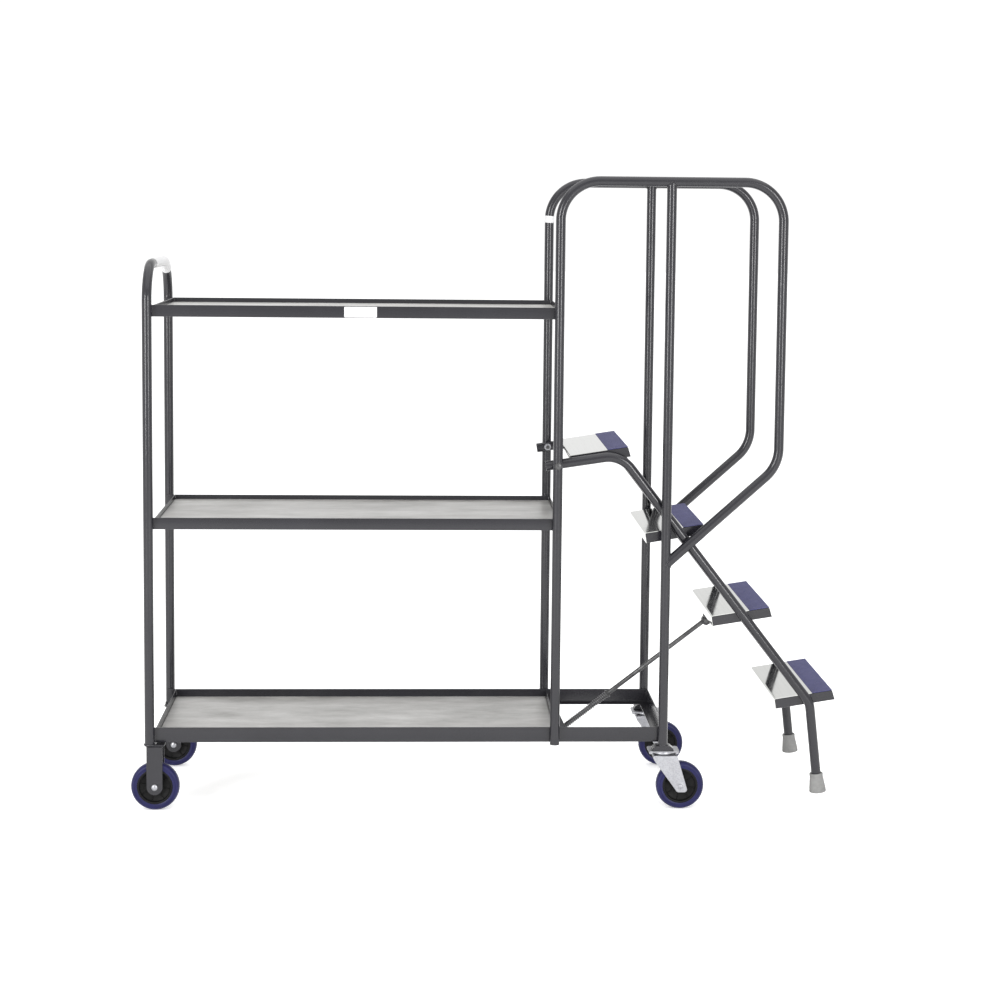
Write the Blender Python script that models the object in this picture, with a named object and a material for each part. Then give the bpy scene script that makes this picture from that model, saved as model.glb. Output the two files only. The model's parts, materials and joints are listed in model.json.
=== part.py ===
"""Order-picking trolley with three shelves, a rear handle hoop, two guard-rail
loops and a sprung step unit. Metres, +Z up, floor at Z = 0. The origin is the
middle of the footprint; +X points to the steps and -Y to the near side."""

import math

import bmesh
import bpy
from mathutils import Matrix, Vector

# ---------------------------------------------------------------- dimensions
MID = 0.8665                  # distance from the hoop posts to the origin
GAP = 0.0003                  # clearance between touching pieces
TUBE_R = 0.0125               # 25 mm round tube
TUBE_WALL = 0.0015
TUBE_SIDES = 12
POST_Y = 0.225                # tube planes of both sides
HOOP_X = -MID
LEG_X = 1.0445 - MID           # inner legs of the guard-rail loops
MID_POST_X = 1.326 - MID
OUTER_X = 1.613 - MID
POST_FOOT_Z = 0.174

RAIL_Y = POST_Y - TUBE_R - GAP        # outer face of the shelf rails
RAIL_T = 0.003
FLANGE = 0.025
SHELF_X0 = 0.015 - MID
SHELF_X1 = 1.054 - MID
BASE_X1 = 1.336 - MID
TOP_SHELF = (1.276, 1.306)
MID_SHELF = (0.732, 0.762)
BASE_SHELF = (0.1765, 0.2155)
BOARD_T = 0.015
CROSS_X = 1.051 - MID

HOOP_TOP = 1.4075
GUARD_TOP = 1.6280
BEND_R = 0.100
GUARD_LOW = 0.9045
GUARD_SLOPE = math.radians(42.0)

PIVOT_X = LEG_X
PIVOT_Z = 0.902
RUN_SLOPE = math.radians(8.65)
STRINGER_Y = 0.199
TREAD_TILT = math.radians(9.0)
KNEE_X = 1.2085 - MID
ANKLE_X = 1.7135 - MID
STAIR_SLOPE = math.radians(52.16)
FOOT_LEAN = math.radians(6.6)
FOOT_BOTTOM = 0.0372
FOOT_LENGTH = 0.050
TREAD_DEPTH = 0.160
TREAD_HIGH = 0.027
TREAD_HALF = STRINGER_Y - TUBE_R - 0.0005
SHEET_T = 0.0012
NOSING_DEPTH = 0.059
NOSING_T = 0.002
TREADS = ((1.1546 - MID, 0.9358), (1.3542 - MID, 0.7345), (1.5312 - MID, 0.5159), (1.7017 - MID, 0.2961))

WHEEL_R = 0.0625
WHEEL_W = 0.032
WHEEL_SIDES = 24
TYRE_DEEP = 0.0165
FIXED_X = 0.0125 - MID
WHEEL_Y = 0.209
SWIVEL_X = 1.3295 - MID
TRAIL = 0.0445
AXLE_R = 0.004
SWIVEL_TOP = 0.157
PAD_HIGH = 0.014

PIN_X = 1.4645 - MID          # upper end of the spring strut
PIN_Z = 0.4565
EYE_X = 1.0725 - MID          # swinging eye under the base frame
EYE_Z = 0.153
ROD_R = 0.006
SPRING_START = 0.0165
SPRING_END = 0.162
SPRING_MEAN_R = 0.0080
SPRING_WIRE_R = 0.0010
SPRING_COILS = 24

COLOURS = {
    "frame": ((0.075, 0.075, 0.080, 1.0), 0.45, 0.3),
    "board": ((0.45, 0.45, 0.44, 1.0), 0.45, 0.2),
    "blue_tyre": ((0.035, 0.032, 0.16, 1.0), 0.55, 0.0),
    "hub": ((0.02, 0.022, 0.02, 1.0), 0.5, 0.0),
    "zinc": ((0.60, 0.61, 0.62, 1.0), 0.32, 0.9),
    "bright": ((0.78, 0.79, 0.77, 1.0), 0.18, 0.9),
    "nosing": ((0.10, 0.10, 0.27, 1.0), 0.75, 0.0),
    "foot": ((0.33, 0.33, 0.33, 1.0), 0.7, 0.0),
    "steel": ((0.12, 0.12, 0.12, 1.0), 0.4, 0.7),
}


# ------------------------------------------------------------------- helpers
def clear_scene():
    for item in list(bpy.data.objects):
        bpy.data.objects.remove(item, do_unlink=True)


def material(name):
    found = bpy.data.materials.get(name)
    if found:
        return found
    colour, rough, metal = COLOURS[name]
    made = bpy.data.materials.new(name)
    made.use_nodes = True
    shader = made.node_tree.nodes["Principled BSDF"]
    shader.inputs["Base Color"].default_value = colour
    shader.inputs["Roughness"].default_value = rough
    shader.inputs["Metallic"].default_value = metal
    return made


def add(name, bm, look, smooth=False):
    bmesh.ops.recalc_face_normals(bm, faces=bm.faces)
    mesh = bpy.data.meshes.new(name)
    bm.to_mesh(mesh)
    bm.free()
    if smooth:
        mesh.shade_smooth()
        mesh.set_sharp_from_angle(angle=math.radians(35))
    mesh.materials.append(material(look))
    made = bpy.data.objects.new(name, mesh)
    bpy.context.scene.collection.objects.link(made)
    return made


def box(name, lo, hi, look="frame"):
    bm = bmesh.new()
    bmesh.ops.create_cube(bm, size=1.0)
    size = Vector(hi) - Vector(lo)
    middle = (Vector(hi) + Vector(lo)) / 2
    bmesh.ops.scale(bm, vec=size, verts=bm.verts)
    bmesh.ops.translate(bm, vec=middle, verts=bm.verts)
    return add(name, bm, look)


def prism(name, outline, start, end, look="frame", frame=None):
    """Outline in the XZ plane, extruded along Y from start to end."""
    bm = bmesh.new()
    verts = [bm.verts.new((x, start, z)) for x, z in outline]
    face = bm.faces.new(verts)
    made = bmesh.ops.extrude_face_region(bm, geom=[face])
    moved = [v for v in made["geom"] if isinstance(v, bmesh.types.BMVert)]
    bmesh.ops.translate(bm, vec=(0, end - start, 0), verts=moved)
    if frame is not None:
        bmesh.ops.transform(bm, matrix=frame, verts=bm.verts)
    return add(name, bm, look)


def turned(name, profile, centre, axis, look, sides=24, closed=False):
    """Profile of (radius, height) pairs turned about an axis through centre."""
    bm = bmesh.new()
    turn = Vector((0, 0, 1)).rotation_difference(Vector(axis).normalized()).to_matrix().to_4x4()
    place = Matrix.Translation(Vector(centre)) @ turn
    rings = []
    for radius, height in profile:
        if radius < 1e-7:
            rings.append([bm.verts.new(place @ Vector((0, 0, height)))])
            continue
        ring = []
        for i in range(sides):
            angle = 2 * math.pi * (i + 0.5) / sides
            point = Vector((radius * math.cos(angle), radius * math.sin(angle), height))
            ring.append(bm.verts.new(place @ point))
        rings.append(ring)
    count = len(rings)
    for k in range(count if closed else count - 1):
        low, high = rings[k], rings[(k + 1) % count]
        for i in range(sides):
            j = (i + 1) % sides
            corners = [low[i % len(low)], low[j % len(low)], high[j % len(high)], high[i % len(high)]]
            unique = list(dict.fromkeys(corners))
            if len(unique) > 2:
                bm.faces.new(unique)
    return add(name, bm, look, smooth=True)


def rod_between(name, start, end, radius, look, sides=12):
    start, end = Vector(start), Vector(end)
    length = (end - start).length
    profile = [(0, 0), (radius, 0), (radius, length), (0, length)]
    return turned(name, profile, start, end - start, look, sides)


def boolean(target, tool, operation):
    step = target.modifiers.new(operation.title(), "BOOLEAN")
    step.operation = operation
    step.solver = "EXACT"
    step.object = tool
    bpy.context.view_layer.update()
    graph = bpy.context.evaluated_depsgraph_get()
    mesh = bpy.data.meshes.new_from_object(target.evaluated_get(graph))
    target.modifiers.clear()
    old = target.data
    target.data = mesh
    bpy.data.meshes.remove(old)
    bpy.data.objects.remove(tool, do_unlink=True)
    return target


def cut(target, tool):
    return boolean(target, tool, "DIFFERENCE")


def fuse(target, tool):
    return boolean(target, tool, "UNION")


def rounded_path(corners, radius, steps=5):
    """Corner points of a planar path, with each inner corner rounded."""
    points = [Vector(corners[0])]
    radii = radius if isinstance(radius, tuple) else (radius,) * (len(corners) - 2)
    for k in range(1, len(corners) - 1):
        here = Vector(corners[k])
        back = (Vector(corners[k - 1]) - here).normalized()
        ahead = (Vector(corners[k + 1]) - here).normalized()
        half = back.angle(ahead) / 2
        reach = radii[k - 1] / math.tan(half)
        centre = here + (back + ahead).normalized() * (radii[k - 1] / math.sin(half))
        arm = here + back * reach - centre
        swing = math.pi - 2 * half
        normal = back.cross(ahead).normalized()
        for i in range(steps + 1):
            turn = Matrix.Rotation(-swing * i / steps, 3, normal)
            points.append(centre + turn @ arm)
    points.append(Vector(corners[-1]))
    return points


def tube(name, points, normal, look="frame", end_plane=None):
    """Hollow round tube with open ends along a planar path."""
    bm = bmesh.new()
    normal = Vector(normal)
    skins = []
    for radius in (TUBE_R, TUBE_R - TUBE_WALL):
        rings = []
        for k, point in enumerate(points):
            ahead = points[min(k + 1, len(points) - 1)] - point
            behind = point - points[max(k - 1, 0)]
            along = (ahead.normalized() + behind.normalized()).normalized()
            side = along.cross(normal).normalized()
            stretch = 1.0
            if 0 < k < len(points) - 1:
                stretch = 1.0 / math.cos(ahead.angle(behind) / 2)
            ring = []
            for i in range(TUBE_SIDES):
                angle = 2 * math.pi * i / TUBE_SIDES
                spot = point + normal * radius * math.cos(angle) + side * radius * math.sin(angle) * stretch
                if end_plane is not None and k == len(points) - 1:
                    spot += along * ((end_plane - spot.x) / along.x)
                ring.append(bm.verts.new(spot))
            rings.append(ring)
        skins.append(rings)
    outer, inner = skins
    for rings, flip in ((outer, False), (inner, True)):
        for low, high in zip(rings, rings[1:]):
            for i in range(TUBE_SIDES):
                j = (i + 1) % TUBE_SIDES
                corners = [low[i], low[j], high[j], high[i]]
                bm.faces.new(corners[::-1] if flip else corners)
    for k in (0, -1):
        for i in range(TUBE_SIDES):
            j = (i + 1) % TUBE_SIDES
            bm.faces.new([outer[k][i], outer[k][j], inner[k][j], inner[k][i]])
    return add(name, bm, look, smooth=True)


def drill(target, centre, axis, radius, length):
    start = Vector(centre) - Vector(axis) * length / 2
    end = Vector(centre) + Vector(axis) * length / 2
    tool = rod_between("drill", start, end, radius / math.cos(math.pi / 12), "steel")
    return cut(target, tool)


def on_slope(centre, tilt):
    """Frame with X up the tilt, Z normal to it, placed at (x, z)."""
    return Matrix.Translation((centre[0], 0, centre[1])) @ Matrix.Rotation(-tilt, 4, "Y")


# --------------------------------------------------------------------- frame
def hoop():
    corners = [(HOOP_X, -POST_Y, POST_FOOT_Z + GAP), (HOOP_X, -POST_Y, HOOP_TOP),
               (HOOP_X, POST_Y, HOOP_TOP), (HOOP_X, POST_Y, POST_FOOT_Z + GAP)]
    return tube("handle_hoop", rounded_path(corners, BEND_R), (1, 0, 0))


def guard_loop(name, y):
    low = GUARD_LOW - (OUTER_X - MID_POST_X - TUBE_R) * math.tan(GUARD_SLOPE)
    corners = [(LEG_X, y, BASE_SHELF[0] - 0.003), (LEG_X, y, GUARD_TOP), (OUTER_X, y, GUARD_TOP),
               (OUTER_X, y, GUARD_LOW), (MID_POST_X + TUBE_R, y, low)]
    loop = tube(name, rounded_path(corners, BEND_R), (0, 1, 0), end_plane=MID_POST_X + TUBE_R + GAP)
    return drill(loop, (PIVOT_X, y, PIVOT_Z), (0, 1, 0), 0.0053, 0.05)


def guard_post(name, y):
    points = [Vector((MID_POST_X, y, SWIVEL_TOP + PAD_HIGH + GAP)),
              Vector((MID_POST_X, y, GUARD_TOP - TUBE_R - GAP))]
    return tube(name, points, (0, 1, 0))


def shelf_frame(name, levels, x1):
    """Angle-iron ring: upright legs outside, flanges inward at the bottom."""
    low, high = levels
    ring = box(name, (SHELF_X0, -RAIL_Y, low), (x1, RAIL_Y, high))
    inner_y = RAIL_Y - RAIL_T
    cut(ring, box("well", (SHELF_X0 + RAIL_T, -inner_y, low + RAIL_T), (x1 - RAIL_T, inner_y, high + 0.01)))
    open_y = RAIL_Y - FLANGE
    cut(ring, box("opening", (SHELF_X0 + FLANGE, -open_y, low - 0.01), (x1 - FLANGE, open_y, high)))
    for side in (-1, 1):
        ys = sorted((side * RAIL_Y, side * inner_y))
        fuse(ring, box("tail", (HOOP_X - 0.008, ys[0], low), (SHELF_X0 + RAIL_T, ys[1], high)))
    return ring


def board(name, level, x1):
    y = RAIL_Y - RAIL_T - GAP
    low = level + RAIL_T + GAP
    lo = (SHELF_X0 + RAIL_T + GAP, -y, low)
    return box(name, lo, (x1, y, low + BOARD_T), "board")


def crossmember():
    """Angle across the base frame that closes the end of its deck."""
    low, high = BASE_SHELF
    y = RAIL_Y - RAIL_T - GAP
    wall = box("base_crossmember", (CROSS_X - RAIL_T, -y, low + RAIL_T + GAP), (CROSS_X, y, high - 0.004))
    open_y = RAIL_Y - FLANGE - GAP
    foot = box("foot", (CROSS_X - 0.028, -open_y, low), (CROSS_X, open_y, low + RAIL_T))
    lip = box("lip", (CROSS_X - RAIL_T, -open_y, low), (CROSS_X, open_y, high - 0.004))
    return fuse(fuse(wall, lip), foot)


def strut_bracket():
    """Channel with two lugs that carry the swinging eye."""
    x0 = CROSS_X + GAP
    x1 = EYE_X + 0.014
    body = box("strut_bracket", (x0, -0.0185, EYE_Z - 0.014), (x1, 0.0185, BASE_SHELF[1] - 0.006))
    cut(body, box("slot", (x0 + 0.003, -0.0155, 0.0), (x1 + 0.01, 0.0155, 0.3)))
    cut(body, box("window", (x0 - 0.01, -0.0155, 0.0), (x0 + 0.01, 0.0155, EYE_Z + 0.016)))
    return drill(body, (EYE_X, 0, EYE_Z), (0, 1, 0), 0.0053, 0.06)


# ------------------------------------------------------------------- casters
def tyre(name, centre):
    half = WHEEL_W / 2
    inner = WHEEL_R - TYRE_DEEP
    tread = WHEEL_R / math.cos(math.pi / WHEEL_SIDES)
    profile = [(inner, -half + 0.001), (tread - 0.006, -half), (tread, -half + 0.009),
               (tread, half - 0.009), (tread - 0.006, half), (inner, half - 0.001)]
    return turned(name, profile, centre, (0, 1, 0), "blue_tyre", WHEEL_SIDES, closed=True)


def hub(name, centre):
    half = WHEEL_W / 2
    rim = (WHEEL_R - TYRE_DEEP) * math.cos(math.pi / WHEEL_SIDES) - GAP
    bore = (AXLE_R + GAP) / math.cos(math.pi / WHEEL_SIDES)
    profile = [(bore, -half - 0.0008), (0.015, -half - 0.0008), (0.017, -half + 0.009), (rim - 0.007, -half + 0.009),
               (rim, -half + 0.001), (rim, half - 0.001), (rim - 0.007, half - 0.009), (0.017, half - 0.009),
               (0.015, half + 0.0008), (bore, half + 0.0008)]
    return turned(name, profile, centre, (0, 1, 0), "hub", WHEEL_SIDES, closed=True)


def axle(name, centre, fork_half):
    reach = fork_half + GAP
    head, nut = 0.0085, 0.008
    profile = [(0, -reach - 0.005), (head, -reach - 0.005), (head, -reach), (AXLE_R, -reach),
               (AXLE_R, reach), (nut, reach), (nut, reach + 0.006), (0, reach + 0.006)]
    return turned(name, profile, centre, (0, 1, 0), "zinc", 12)


def fork_leg_outline(top_left, top_right, z_top, axle_x, axle_z, radius):
    points = [(top_right, z_top), (top_left, z_top)]
    for i in range(7):
        angle = math.radians(195 + 25 * i)
        points.append((axle_x + radius * math.cos(angle), axle_z + radius * math.sin(angle)))
    return points


FORK_INNER = 0.0176
FORK_T = 0.003


def fixed_fork(name, y):
    """Pressed U bracket: top plate and two straight legs."""
    plate = box(name, (FIXED_X - 0.026, y - 0.024, POST_FOOT_Z - 0.003), (FIXED_X + 0.026, y + 0.024, POST_FOOT_Z))
    for side in (-1, 1):
        start = y + side * FORK_INNER
        outline = fork_leg_outline(FIXED_X - 0.0205, FIXED_X + 0.0205, POST_FOOT_Z - 0.001, FIXED_X, WHEEL_R, 0.0205)
        leg = prism("leg", outline, start, start + side * FORK_T)
        fuse(plate, leg)
    return drill(plate, (FIXED_X, y, WHEEL_R), (0, 1, 0), AXLE_R + GAP, 0.06)


def post_pad(name, y):
    low = SWIVEL_TOP + GAP
    post_y = math.copysign(POST_Y - 0.004, y)
    half = 0.027
    outline = [(-half, low), (half, low), (half, SWIVEL_TOP + PAD_HIGH - 0.007), (half - 0.009, SWIVEL_TOP + PAD_HIGH),
               (-half + 0.009, SWIVEL_TOP + PAD_HIGH), (-half, SWIVEL_TOP + PAD_HIGH - 0.007)]
    return prism(name, [(MID_POST_X + x, z) for x, z in outline], post_y - 0.016, post_y + 0.016)


def swivel_plate(name, y):
    """Zinc top plate with the upper race and the king pin, whose lower end
    is spread to hold the fork."""
    top = SWIVEL_TOP
    plate = box(name, (SWIVEL_X - 0.040, y - 0.050 * 0.56, top - 0.003), (SWIVEL_X + 0.040, y + 0.028, top), "zinc")
    profile = [(0, -0.001), (0.026, -0.001), (0.027, -0.008), (0.020, -0.012), (0.006, -0.012),
               (0.006, -0.024), (0.010, -0.024), (0.010, -0.030), (0, -0.030)]
    pin = turned("pin", profile, (SWIVEL_X, y, top), (0, 0, 1), "zinc", 20)
    return fuse(plate, pin)


def swivel_fork(name, y):
    """Crown under the race with two tapered legs that trail to the axle."""
    top = SWIVEL_TOP - 0.0125
    axle_x = SWIVEL_X + TRAIL
    crown = box(name, (SWIVEL_X - 0.030, y - FORK_INNER - FORK_T, top - 0.011), (SWIVEL_X + 0.036, y + FORK_INNER + FORK_T, top), "zinc")
    cut(crown, box("under", (SWIVEL_X - 0.031, y - FORK_INNER, top - 0.02), (SWIVEL_X + 0.037, y + FORK_INNER, top - 0.004)))
    outline = [(SWIVEL_X + 0.036, top - 0.002), (SWIVEL_X - 0.028, top - 0.002), (SWIVEL_X - 0.024, top - 0.014),
               (axle_x - 0.012, WHEEL_R - 0.011), (axle_x - 0.007, WHEEL_R - 0.016), (axle_x + 0.013, WHEEL_R - 0.016),
               (axle_x + 0.017, WHEEL_R - 0.011), (SWIVEL_X + 0.042, top - 0.016)]
    for side in (-1, 1):
        start = y + side * FORK_INNER
        fuse(crown, prism("leg", outline, start, start + side * FORK_T, "zinc"))
    drill(crown, (SWIVEL_X, y, top), (0, 0, 1), 0.0064, 0.03)
    return drill(crown, (axle_x, y, WHEEL_R), (0, 1, 0), AXLE_R + GAP, 0.06)


def caster_wheel(tag, centre):
    reach = FORK_INNER + FORK_T
    return [tyre("tyre_" + tag, centre), hub("wheel_hub_" + tag, centre), axle("axle_bolt_" + tag, centre, reach)]


# ----------------------------------------------------------------- step unit
def stringer_point(x):
    """Height of the stringer's centre line on its upper run."""
    return PIVOT_Z + (x - PIVOT_X) * math.tan(RUN_SLOPE)


def ankle_z():
    return stringer_point(KNEE_X) - (ANKLE_X - KNEE_X) * math.tan(STAIR_SLOPE)


def foot_axis():
    return Vector((math.sin(FOOT_LEAN), 0, -math.cos(FOOT_LEAN)))


def foot_length_along():
    drop = ankle_z() - FOOT_BOTTOM - 0.022 * math.sin(FOOT_LEAN)
    return drop / math.cos(FOOT_LEAN)


def stringer(name, y):
    start_x = PIVOT_X - 0.029
    ankle = Vector((ANKLE_X, y, ankle_z()))
    tip = ankle + foot_axis() * (foot_length_along() - 0.008)
    corners = [(start_x, y, stringer_point(start_x)), (KNEE_X, y, stringer_point(KNEE_X)), tuple(ankle), tuple(tip)]
    rail = tube(name, rounded_path(corners, (0.075, 0.055)), (0, 1, 0))
    return drill(rail, (PIVOT_X, y, PIVOT_Z), (0, 1, 0), 0.0053, 0.05)


def rubber_foot(name, y):
    """Tapered boot pushed over the tube end."""
    ankle = Vector((ANKLE_X, y, ankle_z()))
    end = ankle + foot_axis() * foot_length_along()
    bore = (TUBE_R + GAP) / math.cos(math.pi / 20)
    profile = [(0, 0.0), (0.0205, 0.0), (0.022, 0.002), (0.0215, 0.014), (0.0165, 0.047), (0.0155, FOOT_LENGTH),
               (bore, FOOT_LENGTH), (bore, 0.008 - GAP), (0, 0.008 - GAP)]
    return turned(name, profile, end, -foot_axis(), "foot", 20)


def tread_carrier(name, centre):
    """Folded tray, open underneath, with its nose cut back."""
    half = TREAD_DEPTH / 2
    top = -SHEET_T - GAP
    bottom = -TREAD_HIGH
    back = -half + SHEET_T + GAP
    outline = [(back, bottom), (half - 0.002, bottom), (half - 0.0055, top), (back + 0.004, top), (back, top - 0.004)]
    frame = on_slope(centre, TREAD_TILT)
    tray = prism(name, outline, -TREAD_HALF, TREAD_HALF, "frame", frame)
    hollow = [(back + 0.002, bottom - 0.01), (half - 0.004, bottom - 0.01), (half - 0.0075, top - 0.002),
              (back + 0.004, top - 0.002), (back + 0.002, top - 0.006)]
    return cut(tray, prism("hollow", hollow, -TREAD_HALF + 0.002, TREAD_HALF - 0.002, "frame", frame))


def tread_plate(name, centre):
    """Bright sheet over the top and down the back, rolled over the edge."""
    half = TREAD_DEPTH / 2
    front = half - NOSING_DEPTH - GAP
    roll = 0.005
    turns = [math.radians(180 - 22.5 * i) for i in range(5)]
    middle = (-half + roll, -roll)
    skins = []
    for radius in (roll, roll - SHEET_T):
        curve = [(middle[0] + radius * math.cos(a), middle[1] + radius * math.sin(a)) for a in turns]
        skins.append([(-half + roll - radius, -TREAD_HIGH)] + curve + [(front, radius - roll)])
    frame = on_slope(centre, TREAD_TILT)
    bm = bmesh.new()
    rows = []
    for outer, inner in zip(*skins):
        corners = [(outer, -TREAD_HALF), (outer, TREAD_HALF), (inner, TREAD_HALF), (inner, -TREAD_HALF)]
        rows.append([bm.verts.new(frame @ Vector((p[0], y, p[1]))) for p, y in corners])
    for low, high in zip(rows, rows[1:]):
        for i in range(4):
            j = (i + 1) % 4
            bm.faces.new([low[i], low[j], high[j], high[i]])
    bm.faces.new(rows[0])
    bm.faces.new(rows[-1][::-1])
    return add(name, bm, "bright")


def tread_nosing(name, centre):
    """Gritted anti-slip strip, a little proud of the sheet beside it."""
    half = TREAD_DEPTH / 2
    outline = [(half - NOSING_DEPTH, -SHEET_T), (half - 0.0057, -SHEET_T), (half - 0.0060, NOSING_T - SHEET_T),
               (half - NOSING_DEPTH, NOSING_T - SHEET_T)]
    return prism(name, outline, -TREAD_HALF, TREAD_HALF, "nosing", on_slope(centre, TREAD_TILT))


def pivot_bolt(name, side):
    outer = POST_Y + TUBE_R + GAP
    inner = STRINGER_Y - TUBE_R - GAP
    profile = [(0, outer + 0.0065), (0.0094, outer + 0.0065), (0.0094, outer), (0.005, outer),
               (0.005, inner - 0.012), (0, inner - 0.012)]
    bolt = turned(name, profile, (PIVOT_X, 0, PIVOT_Z), (0, side, 0), "steel", 12)
    return bolt


def pivot_nut(name, side):
    inner = STRINGER_Y - TUBE_R - GAP
    bore = (0.005 + GAP) / math.cos(math.pi / 12)
    profile = [(bore, inner - 0.008), (0.0094, inner - 0.008), (0.0094, inner), (bore, inner)]
    return turned(name, profile, (PIVOT_X, 0, PIVOT_Z), (0, side, 0), "zinc", 12, closed=True)


# -------------------------------------------------------------- spring strut
def strut_direction():
    return Vector((PIN_X - EYE_X, 0, PIN_Z - EYE_Z)).normalized()


def strut_length():
    return math.hypot(PIN_X - EYE_X, PIN_Z - EYE_Z)


def strut_tab():
    """Folded ear welded to the underside of the third tread."""
    frame = on_slope(TREADS[2], TREAD_TILT)
    back = -TREAD_DEPTH / 2
    low = -TREAD_HIGH - GAP
    pin = frame.inverted() @ Vector((PIN_X, 0, PIN_Z))
    outline = [(back + 0.002, low), (back + 0.062, low), (pin.x + 0.012, pin.z - 0.008), (pin.x, pin.z - 0.013),
               (pin.x - 0.010, pin.z - 0.008), (back + 0.002, low - 0.006)]
    body = prism("strut_tab", outline, -0.012, 0.012, "frame", frame)
    slot = [(back - 0.02, low - 0.002), (back + 0.08, low - 0.002), (back + 0.08, low - 0.08), (back - 0.02, low - 0.08)]
    cut(body, prism("slot", slot, -0.009, 0.009, "frame", frame))
    return drill(body, (PIN_X, 0, PIN_Z), (0, 1, 0), 0.0043, 0.05)


def strut_pin():
    reach = 0.012 + GAP
    profile = [(0, -reach - 0.003), (0.007, -reach - 0.003), (0.007, -reach), (0.004, -reach), (0.004, reach),
               (0.0065, reach), (0.0065, reach + 0.003), (0, reach + 0.003)]
    return turned("strut_pin", profile, (PIN_X, 0, PIN_Z), (0, 1, 0), "steel", 12)


def strut_rod():
    """Rod with a flat eye on top, the spring's collar and a stop nut below."""
    along = strut_direction()
    eye = Vector((EYE_X, 0, EYE_Z))
    top = strut_length() - 0.010
    profile = [(0, -0.034), (ROD_R, -0.034), (ROD_R, -0.020), (0.0095, -0.020), (0.0095, -0.0115), (ROD_R, -0.0115),
               (ROD_R, SPRING_END + GAP), (0.0115, SPRING_END + GAP), (0.0115, SPRING_END + 0.0045),
               (ROD_R, SPRING_END + 0.0045), (ROD_R, top), (0, top)]
    rod = turned("strut_rod", profile, eye, along, "steel", 12)
    end = turned("eye", [(0, -0.0075), (0.011, -0.0075), (0.011, 0.0075), (0, 0.0075)],
                 (PIN_X, 0, PIN_Z), (0, 1, 0), "steel", 16)
    fuse(rod, end)
    return drill(rod, (PIN_X, 0, PIN_Z), (0, 1, 0), 0.0055, 0.05)


def trunnion():
    """Swinging eye: a block bored for the rod, with a pin at each side."""
    along = strut_direction()
    tilt = math.atan2(along.z, along.x)
    frame = on_slope((EYE_X, EYE_Z), tilt)
    block = prism("strut_eye", [(-0.0110, -0.011), (0.0155, -0.011), (0.0155, 0.011), (-0.0110, 0.011)],
                  -0.0145, 0.0145, "steel", frame)
    pin = rod_between("pin", (EYE_X, -0.0225, EYE_Z), (EYE_X, 0.0225, EYE_Z), 0.005, "steel")
    fuse(block, pin)
    return drill(block, (EYE_X, 0, EYE_Z), along, ROD_R + 0.0004, 0.08)


def spring():
    """Round-wire compression spring between the eye and the collar."""
    along = strut_direction()
    side = Vector((0, 1, 0))
    up = along.cross(side)
    origin = Vector((EYE_X, 0, EYE_Z))
    start = SPRING_START + SPRING_WIRE_R
    rise = SPRING_END - SPRING_WIRE_R - start
    turns = SPRING_COILS
    steps = turns * 8
    bm = bmesh.new()
    rings = []
    for k in range(steps + 1):
        share = k / steps
        angle = 2 * math.pi * turns * share
        radial = side * math.cos(angle) + up * math.sin(angle)
        centre = origin + along * (start + rise * share) + radial * SPRING_MEAN_R
        ring = []
        for i in range(4):
            turn = 2 * math.pi * i / 4
            ring.append(bm.verts.new(centre + radial * SPRING_WIRE_R * math.cos(turn) + along * SPRING_WIRE_R * math.sin(turn)))
        rings.append(ring)
    for low, high in zip(rings, rings[1:]):
        for i in range(4):
            j = (i + 1) % 4
            bm.faces.new([low[i], low[j], high[j], high[i]])
    bm.faces.new(rings[0])
    bm.faces.new(rings[-1][::-1])
    return add("coil_spring", bm, "steel", smooth=True)


# ----------------------------------------------------------------- assembly
def pivot_empty(name, place, members):
    empty = bpy.data.objects.new(name, None)
    bpy.context.scene.collection.objects.link(empty)
    empty.location = place
    bpy.context.view_layer.update()
    for member in members:
        member.parent = empty
        member.matrix_parent_inverse = empty.matrix_world.inverted()
    return empty


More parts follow.
